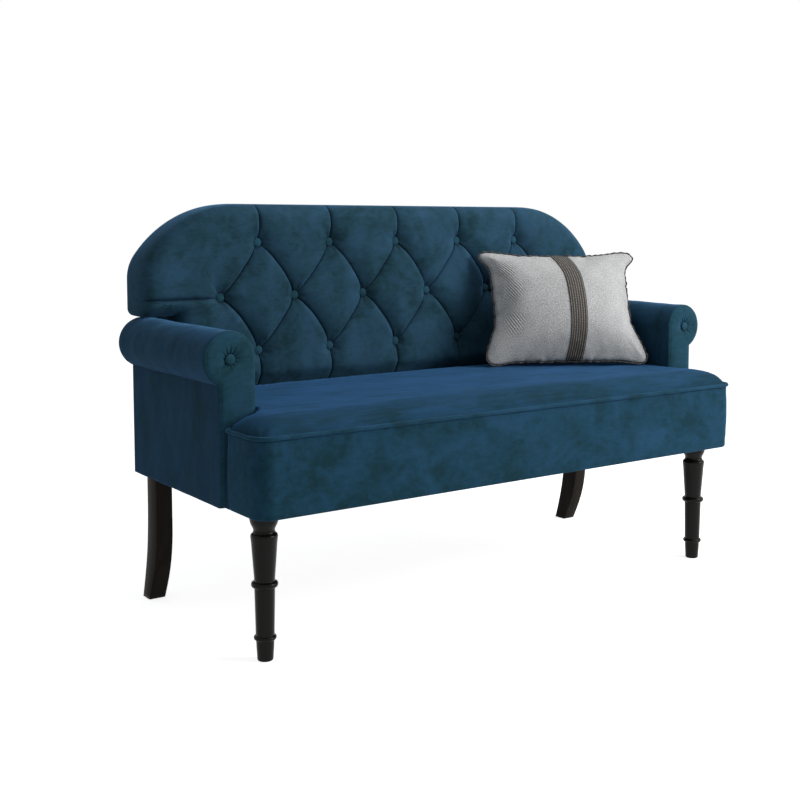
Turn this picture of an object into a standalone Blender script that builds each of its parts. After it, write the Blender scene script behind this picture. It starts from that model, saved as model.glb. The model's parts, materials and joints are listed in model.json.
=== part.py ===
"""Rolled arm loveseat with a diamond tufted back, a T shaped bench seat and turned front legs.

Metres, +Z up, the front faces -Y, origin on the floor under the centre of the box.
Depths are first measured back from the seat's front face and then moved by FRONT.
"""

import math

import bmesh
import bpy
import numpy as np
from mathutils import Matrix, Vector

# General clearances and layers
GAP = 0.0003
COVER = 0.004
DEPTH = 0.600

# Seat
SEAT_HALF = 0.650
SEAT_BOTTOM = 0.2870
WELT_Z = 0.438
WELT_R = 0.0042
WELT_NOTCH = 0.005
CROWN_RISE = 0.032
CROWN_MIDDLE = 0.006
CROWN_ROLL = 0.062
CROWN_ROLL_BACK = 0.030
CROWN_FALL = 0.014
CROWN_FALL_LENGTH = 0.110
EAR_DEPTH = 0.133
EAR_FRONT_R = 0.034
EAR_BACK_R = 0.014
SEAT_CLEARANCE = 0.0015
TUCK_Z = 0.400

# Arms, placed from the seat's sides and from the outside back
ARM_OVERHANG = 0.008
ROLL_INSET = 0.016
BACK_FRAME_DEPTH = 0.027
ARM_FRONT = 0.143
ARM_REAR = DEPTH - BACK_FRAME_DEPTH
ARM_OUTER = SEAT_HALF + ARM_OVERHANG
ROLL_X = SEAT_HALF - ROLL_INSET
ROLL_Z = 0.574
ROLL_R = 0.055
FACING = 0.009
REAR_FACING = 0.004
ARM_BOARD = 0.018
ARM_STEPS = 18
FACET_SAG = 0.0008

# Back: the arch over the wings keeps its shape, as high as the height or the width allows
BACK_TOP = 0.8775
BACK_BOTTOM = 0.452
BACK_HALF = ARM_OUTER
WING_GAP = 0.0015
WING_R = 0.016
WING_BOTTOM = ROLL_Z + ROLL_R + WING_GAP
ARCH_H = min(BACK_TOP - WING_BOTTOM, 0.3754 * BACK_HALF)
SHOULDER_X = BACK_HALF - 0.9636 * ARCH_H
SHOULDER_R = 1.1012 * ARCH_H
SHOULDER_FILLET = 0.3644 * ARCH_H
BACK_THICKNESS = 0.0845
TUFT_WALL = 0.005
SEAT_JOINT = 0.0005
TUFT_Y = DEPTH - BACK_THICKNESS
POCKET_Y = TUFT_Y + TUFT_WALL
SEAT_DEPTH = TUFT_Y - SEAT_JOINT
PUFF = 0.018
DIMPLE = 0.004
EDGE_ROUND = 0.030
BUTTON_SPACING = 0.28815 * BACK_HALF
BUTTON_ROW = 0.2893 * (BACK_TOP - BACK_BOTTOM)
MIDDLE_ROW_Z = BACK_BOTTOM + 0.5065 * (BACK_TOP - BACK_BOTTOM)
BUTTON_R = 0.0105
BUTTON_SINK = 0.0056
BUTTON_DOME = 0.0038
FOAM_INSET = 0.0155
OUTSIDE_PANEL = 0.0042
BACK_FRAME_INSET = 0.012
STILE_W = 0.065
TOP_RAIL_H = 0.080
WEBBING = 0.0017
WEBBING_W = 0.050

# Seat frame
FRAME_BOTTOM = SEAT_BOTTOM + GAP
RAIL_TOP = 0.385
RAIL = 0.025
SIDE_RAIL = 0.017
LEG_BOARD_H = 0.030
LEG_BOARD_FRONT = 0.090
LEG_BOARD_REAR = 0.060
WIRE_R = 0.0018
SPRINGS = 7
SPRING_PITCH = 0.2308 * SEAT_HALF
SPRING_WIDTH = 0.050
SPRING_LOOPS = 15
TIE_WIRE_R = 0.0012
CLIP_SIZE = (0.024, 0.018, 0.0046)

CAMBRIC_SHEET = 0.0012
CAMBRIC_HEM = 0.006

# Legs
LEG_TOP_R = 0.0285
FRONT_LEG_INSET = 0.049
FRONT_LEG_X = SEAT_HALF - FRONT_LEG_INSET
FRONT_LEG_Y = 0.0750
REAR_LEG_INSET = 0.0297
REAR_LEG_X = SEAT_HALF - REAR_LEG_INSET
REAR_LEG_FORWARD = 0.102
REAR_LEG_Y = DEPTH - REAR_LEG_FORWARD
REAR_LEG_W = 0.038
REAR_LEG_D = 0.050
BOLT_R = 0.004
BOLT_HOLE = BOLT_R + GAP
HANGER = 0.026

# Throw pillow
PILLOW_W = 0.413
PILLOW_H = 0.305
PILLOW_T = 0.125
PILLOW_INSET = 0.288
PILLOW_X = SEAT_HALF - PILLOW_INSET
PILLOW_FORWARD = 0.2415
PILLOW_Y = TUFT_Y - PILLOW_FORWARD
PILLOW_YAW = -25.0
PILLOW_LEAN = 25.0
PILLOW_SIDE_IN = 0.028
PILLOW_TOP_IN = 0.010
BAND_X = 0.022
BAND_W = 0.043
BAND_T = 0.0012
TRIM_R = 0.0022

# Derived places. The box is centred in depth on the origin.
WELT_SLOPE = math.hypot(2 * WELT_R, WELT_NOTCH)
WELT_OFFSET = (WELT_R + GAP) * 2 * WELT_R / WELT_SLOPE - WELT_NOTCH / 2
WELT_LIFT = (WELT_R + GAP) * WELT_NOTCH / WELT_SLOPE
FRONT = (WELT_OFFSET + WELT_R - DEPTH) / 2
ARM_INNER = ROLL_X - ROLL_R
BODY_HALF = ARM_INNER - SEAT_CLEARANCE
RAIL_OUTER = SEAT_HALF - COVER - 0.0008
RAIL_INNER = RAIL_OUTER - SIDE_RAIL
REAR_RAIL_Y = ARM_REAR - REAR_FACING - GAP
FRAME_Y = REAR_RAIL_Y + GAP
PANEL_Y = DEPTH - OUTSIDE_PANEL
SEAT_TOP_REAR = WELT_Z + WELT_R + CROWN_RISE + CROWN_MIDDLE - CROWN_FALL


def clear_scene():
    for obj in list(bpy.data.objects):
        bpy.data.objects.remove(obj)


def make_collection(name):
    found = bpy.data.collections.new(name)
    bpy.context.scene.collection.children.link(found)
    return found


def make_material(name, colour, roughness, metallic=0.0):
    material = bpy.data.materials.new(name)
    material.use_nodes = True
    shader = material.node_tree.nodes["Principled BSDF"]
    shader.inputs["Base Color"].default_value = (*colour, 1.0)
    shader.inputs["Roughness"].default_value = roughness
    shader.inputs["Metallic"].default_value = metallic
    material.diffuse_color = (*colour, 1.0)
    return material


clear_scene()
PARTS = make_collection("rolled_arm_loveseat")
CUTTERS = make_collection("cutters")
VELVET = make_material("velvet", (0.014, 0.060, 0.115), 0.85)
WOOD = make_material("frame_wood", (0.50, 0.34, 0.19), 0.65)
BOARD = make_material("fibre_board", (0.38, 0.27, 0.16), 0.80)
LEG_WOOD = make_material("dark_leg_wood", (0.012, 0.010, 0.009), 0.32)
FOAM = make_material("foam", (0.80, 0.72, 0.48), 0.95)
STEEL = make_material("zinc_steel", (0.55, 0.56, 0.58), 0.35, 1.0)
JUTE = make_material("webbing", (0.42, 0.33, 0.20), 0.90)
CAMBRIC = make_material("black_cambric", (0.015, 0.015, 0.016), 0.90)
GREY_WEAVE = make_material("grey_weave", (0.42, 0.42, 0.43), 0.90)
RIBBON = make_material("ribbon", (0.055, 0.046, 0.042), 0.60)


def place(obj, material, parent=None, collection=None):
    """Links an object, gives it its material and hangs it on a parent without moving it."""
    (collection or PARTS).objects.link(obj)
    obj.data.materials.clear()
    obj.data.materials.append(material)
    if parent is not None:
        obj.parent = parent
    return obj


def make_empty(name, location=(0.0, 0.0, 0.0), rotation=(0.0, 0.0, 0.0)):
    empty = bpy.data.objects.new(name, None)
    empty.location = location
    empty.rotation_euler = rotation
    PARTS.objects.link(empty)
    return empty


def object_from_bmesh(name, bm, material, parent=None, smooth=False, collection=None):
    mesh = bpy.data.meshes.new(name)
    bm.to_mesh(mesh)
    bm.free()
    if smooth:
        mesh.shade_smooth()
    obj = bpy.data.objects.new(name, mesh)
    return place(obj, material, parent, collection)


def box(name, low, high, material, parent=None, collection=None):
    """A rail, board or block between two corners; depths count from the seat's front face."""
    low = Vector(low)
    high = Vector(high)
    bm = bmesh.new()
    bmesh.ops.create_cube(bm, size=1.0)
    bmesh.ops.scale(bm, vec=high - low, verts=bm.verts)
    obj = object_from_bmesh(name, bm, material, parent, collection=collection)
    obj.location = (low + high) / 2 + Vector((0.0, FRONT, 0.0))
    return obj


def cylinder_mesh(radius, length, sides):
    bm = bmesh.new()
    bmesh.ops.create_cone(
        bm, cap_ends=True, segments=sides, radius1=radius, radius2=radius, depth=length
    )
    return bm


def cut_hole(target, centre, axis, radius, length):
    """Drills a round hole through or into a piece; the centre is in the depth coordinates."""
    bm = cylinder_mesh(radius, length, 10)
    name = f"{target.name}_drill_{len(CUTTERS.objects)}"
    cutter = object_from_bmesh(name, bm, STEEL, collection=CUTTERS)
    cutter.location = Vector(centre) + Vector((0.0, FRONT, 0.0))
    cutter.rotation_euler = Vector(axis).to_track_quat("Z", "Y").to_euler()
    hide_cutter(cutter)
    add_boolean(target, cutter, "DIFFERENCE")


def hide_cutter(cutter):
    cutter.hide_render = True
    cutter.display_type = "WIRE"


def add_boolean(target, other, operation):
    step = target.modifiers.new(f"{operation.lower()}_{len(target.modifiers)}", "BOOLEAN")
    step.operation = operation
    step.solver = "EXACT"
    step.object = other


def join_bmesh(target, source, matrix):
    """Adds a transformed copy of one bmesh to another as a separate body."""
    source.transform(matrix)
    mesh = bpy.data.meshes.new("joined")
    source.to_mesh(mesh)
    source.free()
    target.from_mesh(mesh)
    bpy.data.meshes.remove(mesh)


def plate_bmesh(points, thickness, bevel=0.0, bevel_resolution=1):
    """A flat outline with rounded edges: a filled 2D curve, extruded, welded to a closed mesh."""
    curve = bpy.data.curves.new("outline", "CURVE")
    curve.dimensions = "2D"
    curve.fill_mode = "BOTH"
    curve.extrude = thickness / 2 - bevel
    curve.bevel_depth = bevel
    curve.bevel_resolution = bevel_resolution
    curve.offset = -bevel
    spline = curve.splines.new("POLY")
    spline.points.add(len(points) - 1)
    for point, (x, y) in zip(spline.points, points):
        point.co = (x, y, 0.0, 1.0)
    spline.use_cyclic_u = True
    guide = bpy.data.objects.new("outline", curve)
    CUTTERS.objects.link(guide)
    graph = bpy.context.evaluated_depsgraph_get()
    mesh = bpy.data.meshes.new_from_object(guide.evaluated_get(graph))
    bm = bmesh.new()
    bm.from_mesh(mesh)
    bmesh.ops.remove_doubles(bm, verts=bm.verts, dist=0.00001)
    bmesh.ops.recalc_face_normals(bm, faces=bm.faces)
    bpy.data.objects.remove(guide)
    bpy.data.curves.remove(curve)
    bpy.data.meshes.remove(mesh)
    return bm


def upright_plate(name, points, y_front, thickness, material, parent=None, bevel=0.0):
    """A plate whose outline is given as (x, z) and which stands across the settee."""
    bm = plate_bmesh(points, thickness, bevel)
    bmesh.ops.rotate(
        bm, verts=bm.verts, cent=(0, 0, 0), matrix=Matrix.Rotation(math.pi / 2, 3, "X")
    )
    obj = object_from_bmesh(name, bm, material, parent)
    obj.location = (0.0, FRONT + y_front + thickness / 2, 0.0)
    return obj


def lying_plate(name, points, z_low, z_high, material, parent=None):
    """A board whose outline is given in plan, as (x, depth)."""
    bm = plate_bmesh(points, z_high - z_low)
    obj = object_from_bmesh(name, bm, material, parent)
    obj.location = (0.0, FRONT, (z_low + z_high) / 2)
    return obj


def turned(name, profile, steps, material, parent=None):
    """A lathe turned piece: the profile runs down its outer side and is spun round Z."""
    mesh = bpy.data.meshes.new(name)
    points = [(r, 0.0, z) for r, z in profile]
    mesh.from_pydata(points, [(i, i + 1) for i in range(len(points) - 1)], [])
    obj = bpy.data.objects.new(name, mesh)
    place(obj, material, parent)
    spin = obj.modifiers.new("spin", "SCREW")
    spin.steps = steps
    spin.render_steps = steps
    spin.use_merge_vertices = True
    spin.merge_threshold = 0.00001
    spin.use_smooth_shade = True
    return obj


def tube(name, points, radius, material, parent=None, resolution=1, cyclic=False):
    """A cord, wire or welt: a poly curve with a round bevel and filled caps."""
    curve = bpy.data.curves.new(name, "CURVE")
    curve.dimensions = "3D"
    curve.bevel_depth = radius
    curve.bevel_resolution = resolution
    curve.use_fill_caps = not cyclic
    spline = curve.splines.new("POLY")
    spline.points.add(len(points) - 1)
    for point, co in zip(spline.points, points):
        point.co = (*co, 1.0)
    spline.use_cyclic_u = cyclic
    obj = bpy.data.objects.new(name, curve)
    return place(obj, material, parent)


def arc(centre, radius, start, end, steps):
    """Points of an arc in degrees, both ends included."""
    angles = np.radians(np.linspace(start, end, steps + 1))
    return [(centre[0] + radius * math.cos(a), centre[1] + radius * math.sin(a)) for a in angles]


def side_points(points, side):
    """Mirrors an outline made for the +X side; the order is turned so that it stays a loop."""
    mirrored = [(side * x, z) for x, z in points]
    return mirrored if side > 0 else mirrored[::-1]


# Seat: the T shaped crowned form


def quarter_round(distance, radius):
    """0 at an edge, 1 from one radius inwards, with a quarter of an ellipse between."""
    t = min(max(distance / radius, 0.0), 1.0)
    return math.sqrt(1.0 - (1.0 - t) ** 2)


def smooth_step(value):
    t = min(max(value, 0.0), 1.0)
    return t * t * (3.0 - 2.0 * t)


def seat_top(x, y):
    """Height of the seat's top at a width and a depth, inside the welt's notch."""
    side = quarter_round(SEAT_HALF - WELT_NOTCH - abs(x), CROWN_ROLL)
    front = quarter_round(y - WELT_NOTCH, CROWN_ROLL)
    rear = 1.0
    if abs(x) > BODY_HALF:
        rear = quarter_round(EAR_DEPTH - WELT_NOTCH - y, CROWN_ROLL_BACK)
        inward = smooth_step((abs(x) - BODY_HALF) / (SEAT_HALF - BODY_HALF) * 3.0)
        rear = 1.0 + (rear - 1.0) * inward
    middle = math.cos(math.pi / 2 * min(abs(x) / SEAT_HALF, 1.0))
    fall = smooth_step((y - SEAT_DEPTH + CROWN_FALL_LENGTH) / CROWN_FALL_LENGTH)
    rise = CROWN_RISE * side * front * rear + CROWN_MIDDLE * middle * front
    return WELT_Z + WELT_R + rise - CROWN_FALL * fall


def round_corner(x, y, corner_x, corner_y, radius, turn_y):
    """Moves a square corner patch's rings onto quarter rings; turn_y is -1 at the front."""
    u = (x - corner_x + radius) / radius
    v = turn_y * (y - corner_y) / radius + 1.0
    if u <= 0.0 or v <= 0.0:
        return x, y
    ring = max(u, v)
    angle = math.pi / 4 * (v / u if u >= v else 2.0 - u / v)
    moved_y = corner_y + turn_y * (ring * math.sin(angle) - 1.0) * radius
    return corner_x - radius + ring * math.cos(angle) * radius, moved_y


def seat_lines(inset):
    """Grid lines in width (half) and in depth for the T, drawn in by an inset."""
    notch = WELT_NOTCH
    half = SEAT_HALF - inset
    body = BODY_HALF - inset
    front = inset
    ear = EAR_DEPTH - 1.3 * inset
    rear = SEAT_DEPTH - inset
    widths = [body * f for f in (0.0, 0.19, 0.38, 0.57, 0.75, 0.90)]
    widths += [body - notch, body]
    widths += [half - f for f in (0.045, 0.030, 0.016, notch, 0.0)]
    depths = [front + f for f in (0.0, notch, 0.014, 0.027, 0.044, 0.068)]
    depths += [ear - 0.034, ear - 0.014, ear - notch, ear]
    depths += [ear + (rear - ear) * f for f in (0.22, 0.45, 0.66, 0.80, 0.91)]
    depths += [rear - notch, rear]
    return widths, depths, half, body, ear, rear


def foam_top(x, y):
    """The seat's top less the cover; steps sideways make it lower where the cover is steep."""
    step = 1.5 * COVER
    near = [(x, y), (x + step, y), (x, y - step), (x, y + step)]
    return min(seat_top(*place) for place in near) - COVER - 4 * GAP


def t_grid(inset, height_at, edge_z):
    """The top of the T as an open sheet: a mapped grid with a rounded crown."""
    widths, depths, half, body, ear, rear = seat_lines(inset)
    xs = [-w for w in widths[:0:-1]] + widths
    bm = bmesh.new()
    rows = []
    tiny = 1e-6
    for y in depths:
        row = []
        for x in xs:
            if y > ear + tiny and abs(x) > body + tiny:
                row.append(None)
                continue
            ax, ay = round_corner(abs(x), y, half, inset, EAR_FRONT_R - inset, -1)
            ax, ay = round_corner(ax, ay, half, ear, EAR_BACK_R - inset / 2, 1)
            on_edge = y < inset + tiny or abs(x) > half - tiny or y > rear - tiny
            on_edge = on_edge or (abs(x) > body - tiny and y > ear - tiny)
            z = edge_z if on_edge else height_at(abs(x), y)
            row.append(bm.verts.new((math.copysign(ax, x), ay + FRONT, z)))
        rows.append(row)
    for low, high in zip(rows, rows[1:]):
        for i in range(len(xs) - 1):
            corners = (low[i], low[i + 1], high[i + 1], high[i])
            if None not in corners:
                bm.faces.new(corners)
    return bm


def add_skirt(bm, bottom_of):
    """Drops the sheet's free edge to the height that bottom_of gives for each point."""
    rim = [edge for edge in bm.edges if edge.is_boundary]
    made = bmesh.ops.extrude_edge_only(bm, edges=rim)["geom"]
    for vert in made:
        if isinstance(vert, bmesh.types.BMVert):
            vert.co.z = bottom_of(vert.co)
    bmesh.ops.recalc_face_normals(bm, faces=bm.faces)


def face_outwards(bm, inside):
    """Turns an open shell's faces so that they look away from a point inside it."""
    bm.normal_update()
    towards = sum(
        f.normal.dot(f.calc_center_median() - inside) * f.calc_area() for f in bm.faces
    )
    if towards < 0:
        bmesh.ops.reverse_faces(bm, faces=bm.faces)


def add_thickness(obj, thickness):
    wall = obj.modifiers.new("wall", "SOLIDIFY")
    wall.thickness = thickness
    wall.offset = -1.0
    wall.use_even_offset = True
    return obj


def make_seat_cover(parent):
    bm = t_grid(0.0, seat_top, WELT_Z - WELT_R)

    def bottom(co):
        hidden = abs(co.x) < BODY_HALF + GAP and co.y - FRONT > EAR_DEPTH + GAP
        return TUCK_Z if hidden else SEAT_BOTTOM

    add_skirt(bm, bottom)
    face_outwards(bm, Vector((0.0, FRONT + 0.06, WELT_Z - 0.05)))
    cover = object_from_bmesh("seat_cover", bm, VELVET, parent, smooth=True)
    add_thickness(cover, COVER)
    for side in (-1, 1):
        xs = sorted((side * (RAIL_INNER - GAP), side * (RAIL_OUTER + GAP)))
        passage = box(
            f"side_rail_passage_{side + 1}",
            (xs[0], EAR_DEPTH - EAR_BACK_R, SEAT_BOTTOM - 0.01),
            (xs[1], EAR_DEPTH + COVER, RAIL_TOP + GAP),
            WOOD,
            collection=CUTTERS,
        )
        hide_cutter(passage)
        add_boolean(cover, passage, "DIFFERENCE")


def make_seat_foam(parent):
    bm = t_grid(COVER + GAP, foam_top, WELT_Z - 2 * WELT_R)
    bottom_z = RAIL_TOP + CLIP_SIZE[2] + 2 * GAP
    for vert in bm.verts:
        vert.co.z = max(vert.co.z, bottom_z + 0.01)
    add_skirt(bm, lambda co: bottom_z)
    rim = [edge for edge in bm.edges if edge.is_boundary]
    bmesh.ops.contextual_create(bm, geom=rim)
    bmesh.ops.recalc_face_normals(bm, faces=bm.faces)
    object_from_bmesh("seat_foam", bm, FOAM, parent, smooth=True)


def make_seat_welt(parent):
    """The cord in the notch between crown and border: along the front and both short returns."""
    corner = (SEAT_HALF - EAR_FRONT_R, -EAR_FRONT_R)
    rear_corner = (SEAT_HALF - EAR_BACK_R, EAR_BACK_R - EAR_DEPTH)
    right = arc(rear_corner, EAR_BACK_R + WELT_OFFSET, -80, 0, 4)
    right.append((SEAT_HALF + WELT_OFFSET, -EAR_DEPTH / 2))
    right += arc(corner, EAR_FRONT_R + WELT_OFFSET, 0, 90, 8)
    middle = [(SEAT_HALF * f, WELT_OFFSET) for f in (0.6, 0.2, -0.2, -0.6)]
    line = right + middle + [(-x, y) for x, y in reversed(right)]
    points = [(x, FRONT - y, WELT_Z + WELT_LIFT) for x, y in line]
    tube("seat_welt", points, WELT_R, VELVET, parent)


# Seat frame and suspension


def make_seat_frame(parent):
    front_y = COVER + GAP
    side_y = front_y + RAIL + GAP
    rear_y = REAR_RAIL_Y - RAIL
    round_r = EAR_FRONT_R - COVER - GAP
    turn = -math.degrees(math.asin((round_r - RAIL) / round_r))
    corner = arc((RAIL_OUTER - round_r, front_y + round_r), round_r, -90, turn, 4)
    outline = corner + [(-x, y) for x, y in reversed(corner)]
    lying_plate("seat_front_rail", outline, FRAME_BOTTOM, RAIL_TOP, WOOD, parent)
    for name, side in (("left", -1), ("right", 1)):
        xs = sorted((side * RAIL_INNER, side * RAIL_OUTER))
        box(
            f"seat_side_rail_{name}",
            (xs[0], side_y, FRAME_BOTTOM),
            (xs[1], REAR_RAIL_Y, RAIL_TOP),
            WOOD,
            parent,
        )
    inner = RAIL_INNER - GAP
    box(
        "seat_back_rail",
        (-inner, rear_y, FRAME_BOTTOM),
        (inner, REAR_RAIL_Y, RAIL_TOP),
        WOOD,
        parent,
    )
    make_leg_boards(inner, side_y, rear_y - GAP, parent)


def make_leg_boards(half, front_y, rear_y, parent):
    """Flat boards behind the front rail and before the back rail, bored for the legs' bolts."""
    ends = {
        "front": (front_y, front_y + LEG_BOARD_FRONT, leg_places()[:2]),
        "rear": (rear_y - LEG_BOARD_REAR, rear_y, leg_places()[2:]),
    }
    for name, (low_y, high_y, legs) in ends.items():
        board = box(
            f"leg_board_{name}",
            (-half, low_y, FRAME_BOTTOM),
            (half, high_y, FRAME_BOTTOM + LEG_BOARD_H),
            WOOD,
            parent,
        )
        for _, x, y in legs:
            cut_hole(board, (x, y, SEAT_BOTTOM), (0, 0, 1), BOLT_HOLE, 2 * HANGER)


def leg_places():
    """Name, width and depth of each leg's bolt."""
    rear_x = REAR_LEG_X - 0.007
    rear_y = rear_leg_top_y()
    return [
        ("front_left", -FRONT_LEG_X, FRONT_LEG_Y),
        ("front_right", FRONT_LEG_X, FRONT_LEG_Y),
        ("rear_left", -rear_x, rear_y),
        ("rear_right", rear_x, rear_y),
    ]


def spring_places():
    return [(i - (SPRINGS - 1) / 2) * SPRING_PITCH for i in range(SPRINGS)]


def spring_ends():
    """Depths of a spring's two end wires, over the middle of the front and back rails."""
    return COVER + GAP + RAIL / 2, REAR_RAIL_Y - RAIL / 2


def wire_bmesh(lines, radius):
    """Wires as square section curves, welded into one mesh of separate closed bodies."""
    bm = bmesh.new()
    for points in lines:
        wire = tube("wire", points, radius, STEEL, resolution=0)
        graph = bpy.context.evaluated_depsgraph_get()
        mesh = bpy.data.meshes.new_from_object(wire.evaluated_get(graph))
        bm.from_mesh(mesh)
        curve = wire.data
        bpy.data.objects.remove(wire)
        bpy.data.curves.remove(curve)
        bpy.data.meshes.remove(mesh)
    bmesh.ops.remove_doubles(bm, verts=bm.verts, dist=0.00001)
    bmesh.ops.recalc_face_normals(bm, faces=bm.faces)
    return bm


def make_spring_unit(parent):
    """Zigzag springs from rail to rail, with two tie wires across them and a clip at each end."""
    front, rear = spring_ends()
    z = RAIL_TOP + GAP + CLIP_SIZE[2] / 2
    step = (rear - front) / SPRING_LOOPS
    bend = step * 0.30
    reach = SPRING_WIDTH / 2
    lines = []
    for x in spring_places():
        points = []
        for i in range(SPRING_LOOPS + 1):
            y = FRONT + front + i * step
            side = 1 if i % 2 else -1
            points.append((x - side * reach, y - (bend if i else 0.0), z))
            points.append((x + side * reach, y + (bend if i < SPRING_LOOPS else 0.0), z))
        lines.append(points)
    springs = object_from_bmesh("seat_spring_unit", wire_bmesh(lines, WIRE_R), STEEL, parent)
    half = spring_places()[-1] + reach
    ties = []
    for i in (5, 10):
        y = FRONT + front + (i + 0.5) * step
        ties.append([(-half, y, z), (half, y, z)])
    extras = wire_bmesh(ties, TIE_WIRE_R)
    for x in spring_places():
        for y in spring_ends():
            clip = bmesh.new()
            bmesh.ops.create_cube(clip, size=1.0)
            bmesh.ops.scale(clip, vec=CLIP_SIZE, verts=clip.verts)
            join_bmesh(extras, clip, Matrix.Translation((x, FRONT + y, z)))
    joined = object_from_bmesh("tie_wires_and_clips", extras, STEEL, collection=CUTTERS)
    hide_cutter(joined)
    add_boolean(springs, joined, "UNION")


def make_dust_cover(parent):
    """Black cambric under the frame, wide under the arms and narrow between the legs."""
    narrow = FRONT_LEG_X - LEG_TOP_R - CAMBRIC_HEM
    wide = ARM_OUTER - CAMBRIC_HEM
    front = COVER + CAMBRIC_HEM
    rear = REAR_RAIL_Y - CAMBRIC_HEM
    wide_from = ARM_FRONT + CAMBRIC_HEM
    wide_to = rear_leg_side()[0][0] - CAMBRIC_HEM
    right = [(narrow, front), (narrow, wide_from), (wide, wide_from)]
    right += [(wide, wide_to), (narrow, wide_to), (narrow, rear)]
    outline = right + [(-x, y) for x, y in reversed(right)]
    high = SEAT_BOTTOM - GAP
    lying_plate("dust_cover", outline, high - CAMBRIC_SHEET, high, CAMBRIC, parent)


# Arms


def keyhole(inner, outer, bottom, radius, rail_cut=None):
    """Scroll outline: straight post sides that run into the roll's circle.

    The cut clears the seat's side rail: "slot" goes round it and "lap" stops beside it.
    """
    reach_in = ROLL_X - inner
    start = 180.0
    if reach_in < radius:
        start = 180.0 + math.degrees(math.acos(reach_in / radius))
    end = -math.degrees(math.acos((outer - ROLL_X) / radius))
    points = [(inner, bottom)]
    points += arc((ROLL_X, ROLL_Z), radius, start, end, ARM_STEPS)
    rail_inner = RAIL_INNER - GAP
    over_rail = RAIL_TOP + GAP
    if rail_cut == "slot":
        rail_outer = RAIL_OUTER + GAP
        points += [(outer, bottom), (rail_outer, bottom), (rail_outer, over_rail)]
    else:
        points.append((outer, over_rail if rail_cut == "lap" else bottom))
    if rail_cut:
        points += [(rail_inner, over_rail), (rail_inner, bottom)]
    return points


def make_arm_cover(name, side, parent):
    """Velvet with its padding, from the tuck at the seat, over the roll, down the outside."""
    outline = keyhole(ARM_INNER, ARM_OUTER, TUCK_Z, ROLL_R)
    outline[-1] = (ARM_OUTER, SEAT_BOTTOM)
    start = FRONT + ARM_FRONT + FACING + GAP
    length = ARM_REAR - REAR_FACING - GAP - ARM_FRONT - FACING - GAP
    bm = bmesh.new()
    verts = [bm.verts.new((side * x, start, z)) for x, z in outline]
    edges = [bm.edges.new(pair) for pair in zip(verts, verts[1:])]
    made = bmesh.ops.extrude_edge_only(bm, edges=edges)["geom"]
    new = [v for v in made if isinstance(v, bmesh.types.BMVert)]
    bmesh.ops.translate(bm, verts=new, vec=(0.0, length, 0.0))
    bmesh.ops.recalc_face_normals(bm, faces=bm.faces)
    face_outwards(bm, Vector((side * ROLL_X, start + length / 2, ROLL_Z)))
    cover = object_from_bmesh(f"arm_cover_{name}", bm, VELVET, parent, smooth=True)
    add_thickness(cover, COVER)


def make_arm_facing(name, side, parent):
    """Padded front facing with a hollow for its covered button, and the plain rear facing."""
    slotted = side_points(keyhole(ARM_INNER, ARM_OUTER, SEAT_BOTTOM, ROLL_R, "slot"), side)
    plain = side_points(keyhole(ARM_INNER, ARM_OUTER, SEAT_BOTTOM, ROLL_R), side)
    front = upright_plate(
        f"arm_front_facing_{name}", slotted, ARM_FRONT, FACING, VELVET, parent, bevel=0.003
    )
    bm = bmesh.new()
    bmesh.ops.create_cone(
        bm, cap_ends=True, segments=12, radius1=0.0004, radius2=0.024, depth=BUTTON_SINK * 2
    )
    name_of_cutter = f"arm_button_hollow_{name}"
    hollow = object_from_bmesh(name_of_cutter, bm, VELVET, collection=CUTTERS)
    hollow.rotation_euler = (math.pi / 2, 0.0, 0.0)
    hollow.location = (side * ROLL_X, FRONT + ARM_FRONT, ROLL_Z)
    hide_cutter(hollow)
    add_boolean(front, hollow, "DIFFERENCE")
    upright_plate(
        f"arm_rear_facing_{name}",
        plain,
        ARM_REAR - REAR_FACING,
        REAR_FACING,
        VELVET,
        parent,
    )


def make_arm_frame(name, side, parent):
    """Scroll boards at both ends of the arm and the round core that the roll is drawn over."""
    inner = ARM_INNER + COVER + GAP
    core = ROLL_R - COVER - FACET_SAG
    front = ARM_FRONT + FACING + GAP
    rear = ARM_REAR - REAR_FACING - GAP
    lapped = keyhole(inner, RAIL_OUTER, FRAME_BOTTOM, core, "lap")
    standing = keyhole(inner, RAIL_OUTER, RAIL_TOP + GAP, core)
    upright_plate(
        f"arm_front_board_{name}", side_points(lapped, side), front, ARM_BOARD, WOOD, parent
    )
    upright_plate(
        f"arm_rear_board_{name}",
        side_points(standing, side),
        rear - ARM_BOARD,
        ARM_BOARD,
        WOOD,
        parent,
    )
    low = front + ARM_BOARD + GAP
    high = rear - ARM_BOARD - GAP
    roll = object_from_bmesh(
        f"arm_roll_core_{name}", cylinder_mesh(core, high - low, 20), BOARD, parent, smooth=True
    )
    roll.rotation_euler = (math.pi / 2, 0.0, 0.0)
    roll.location = (side * ROLL_X, FRONT + (low + high) / 2, ROLL_Z)


# Covered buttons


def make_button(name, x, y, z, parent):
    """A covered button facing the front: domed top, conical underside that sits in the tuft."""
    profile = [
        (0.0, BUTTON_SINK + BUTTON_DOME),
        (0.58 * BUTTON_R, BUTTON_SINK + 0.86 * BUTTON_DOME),
        (0.90 * BUTTON_R, BUTTON_SINK + 0.45 * BUTTON_DOME),
        (BUTTON_R, BUTTON_SINK),
        (0.0, GAP),
    ]
    button = turned(name, profile, 10, VELVET, parent)
    button.rotation_euler = (math.pi / 2, 0.0, 0.0)
    button.location = (x, FRONT + y, z)


def make_arm_button(name, side, parent):
    y = ARM_FRONT + BUTTON_SINK - GAP
    make_button(f"arm_button_{name}", side * ROLL_X, y, ROLL_Z, parent)


# Back


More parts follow.
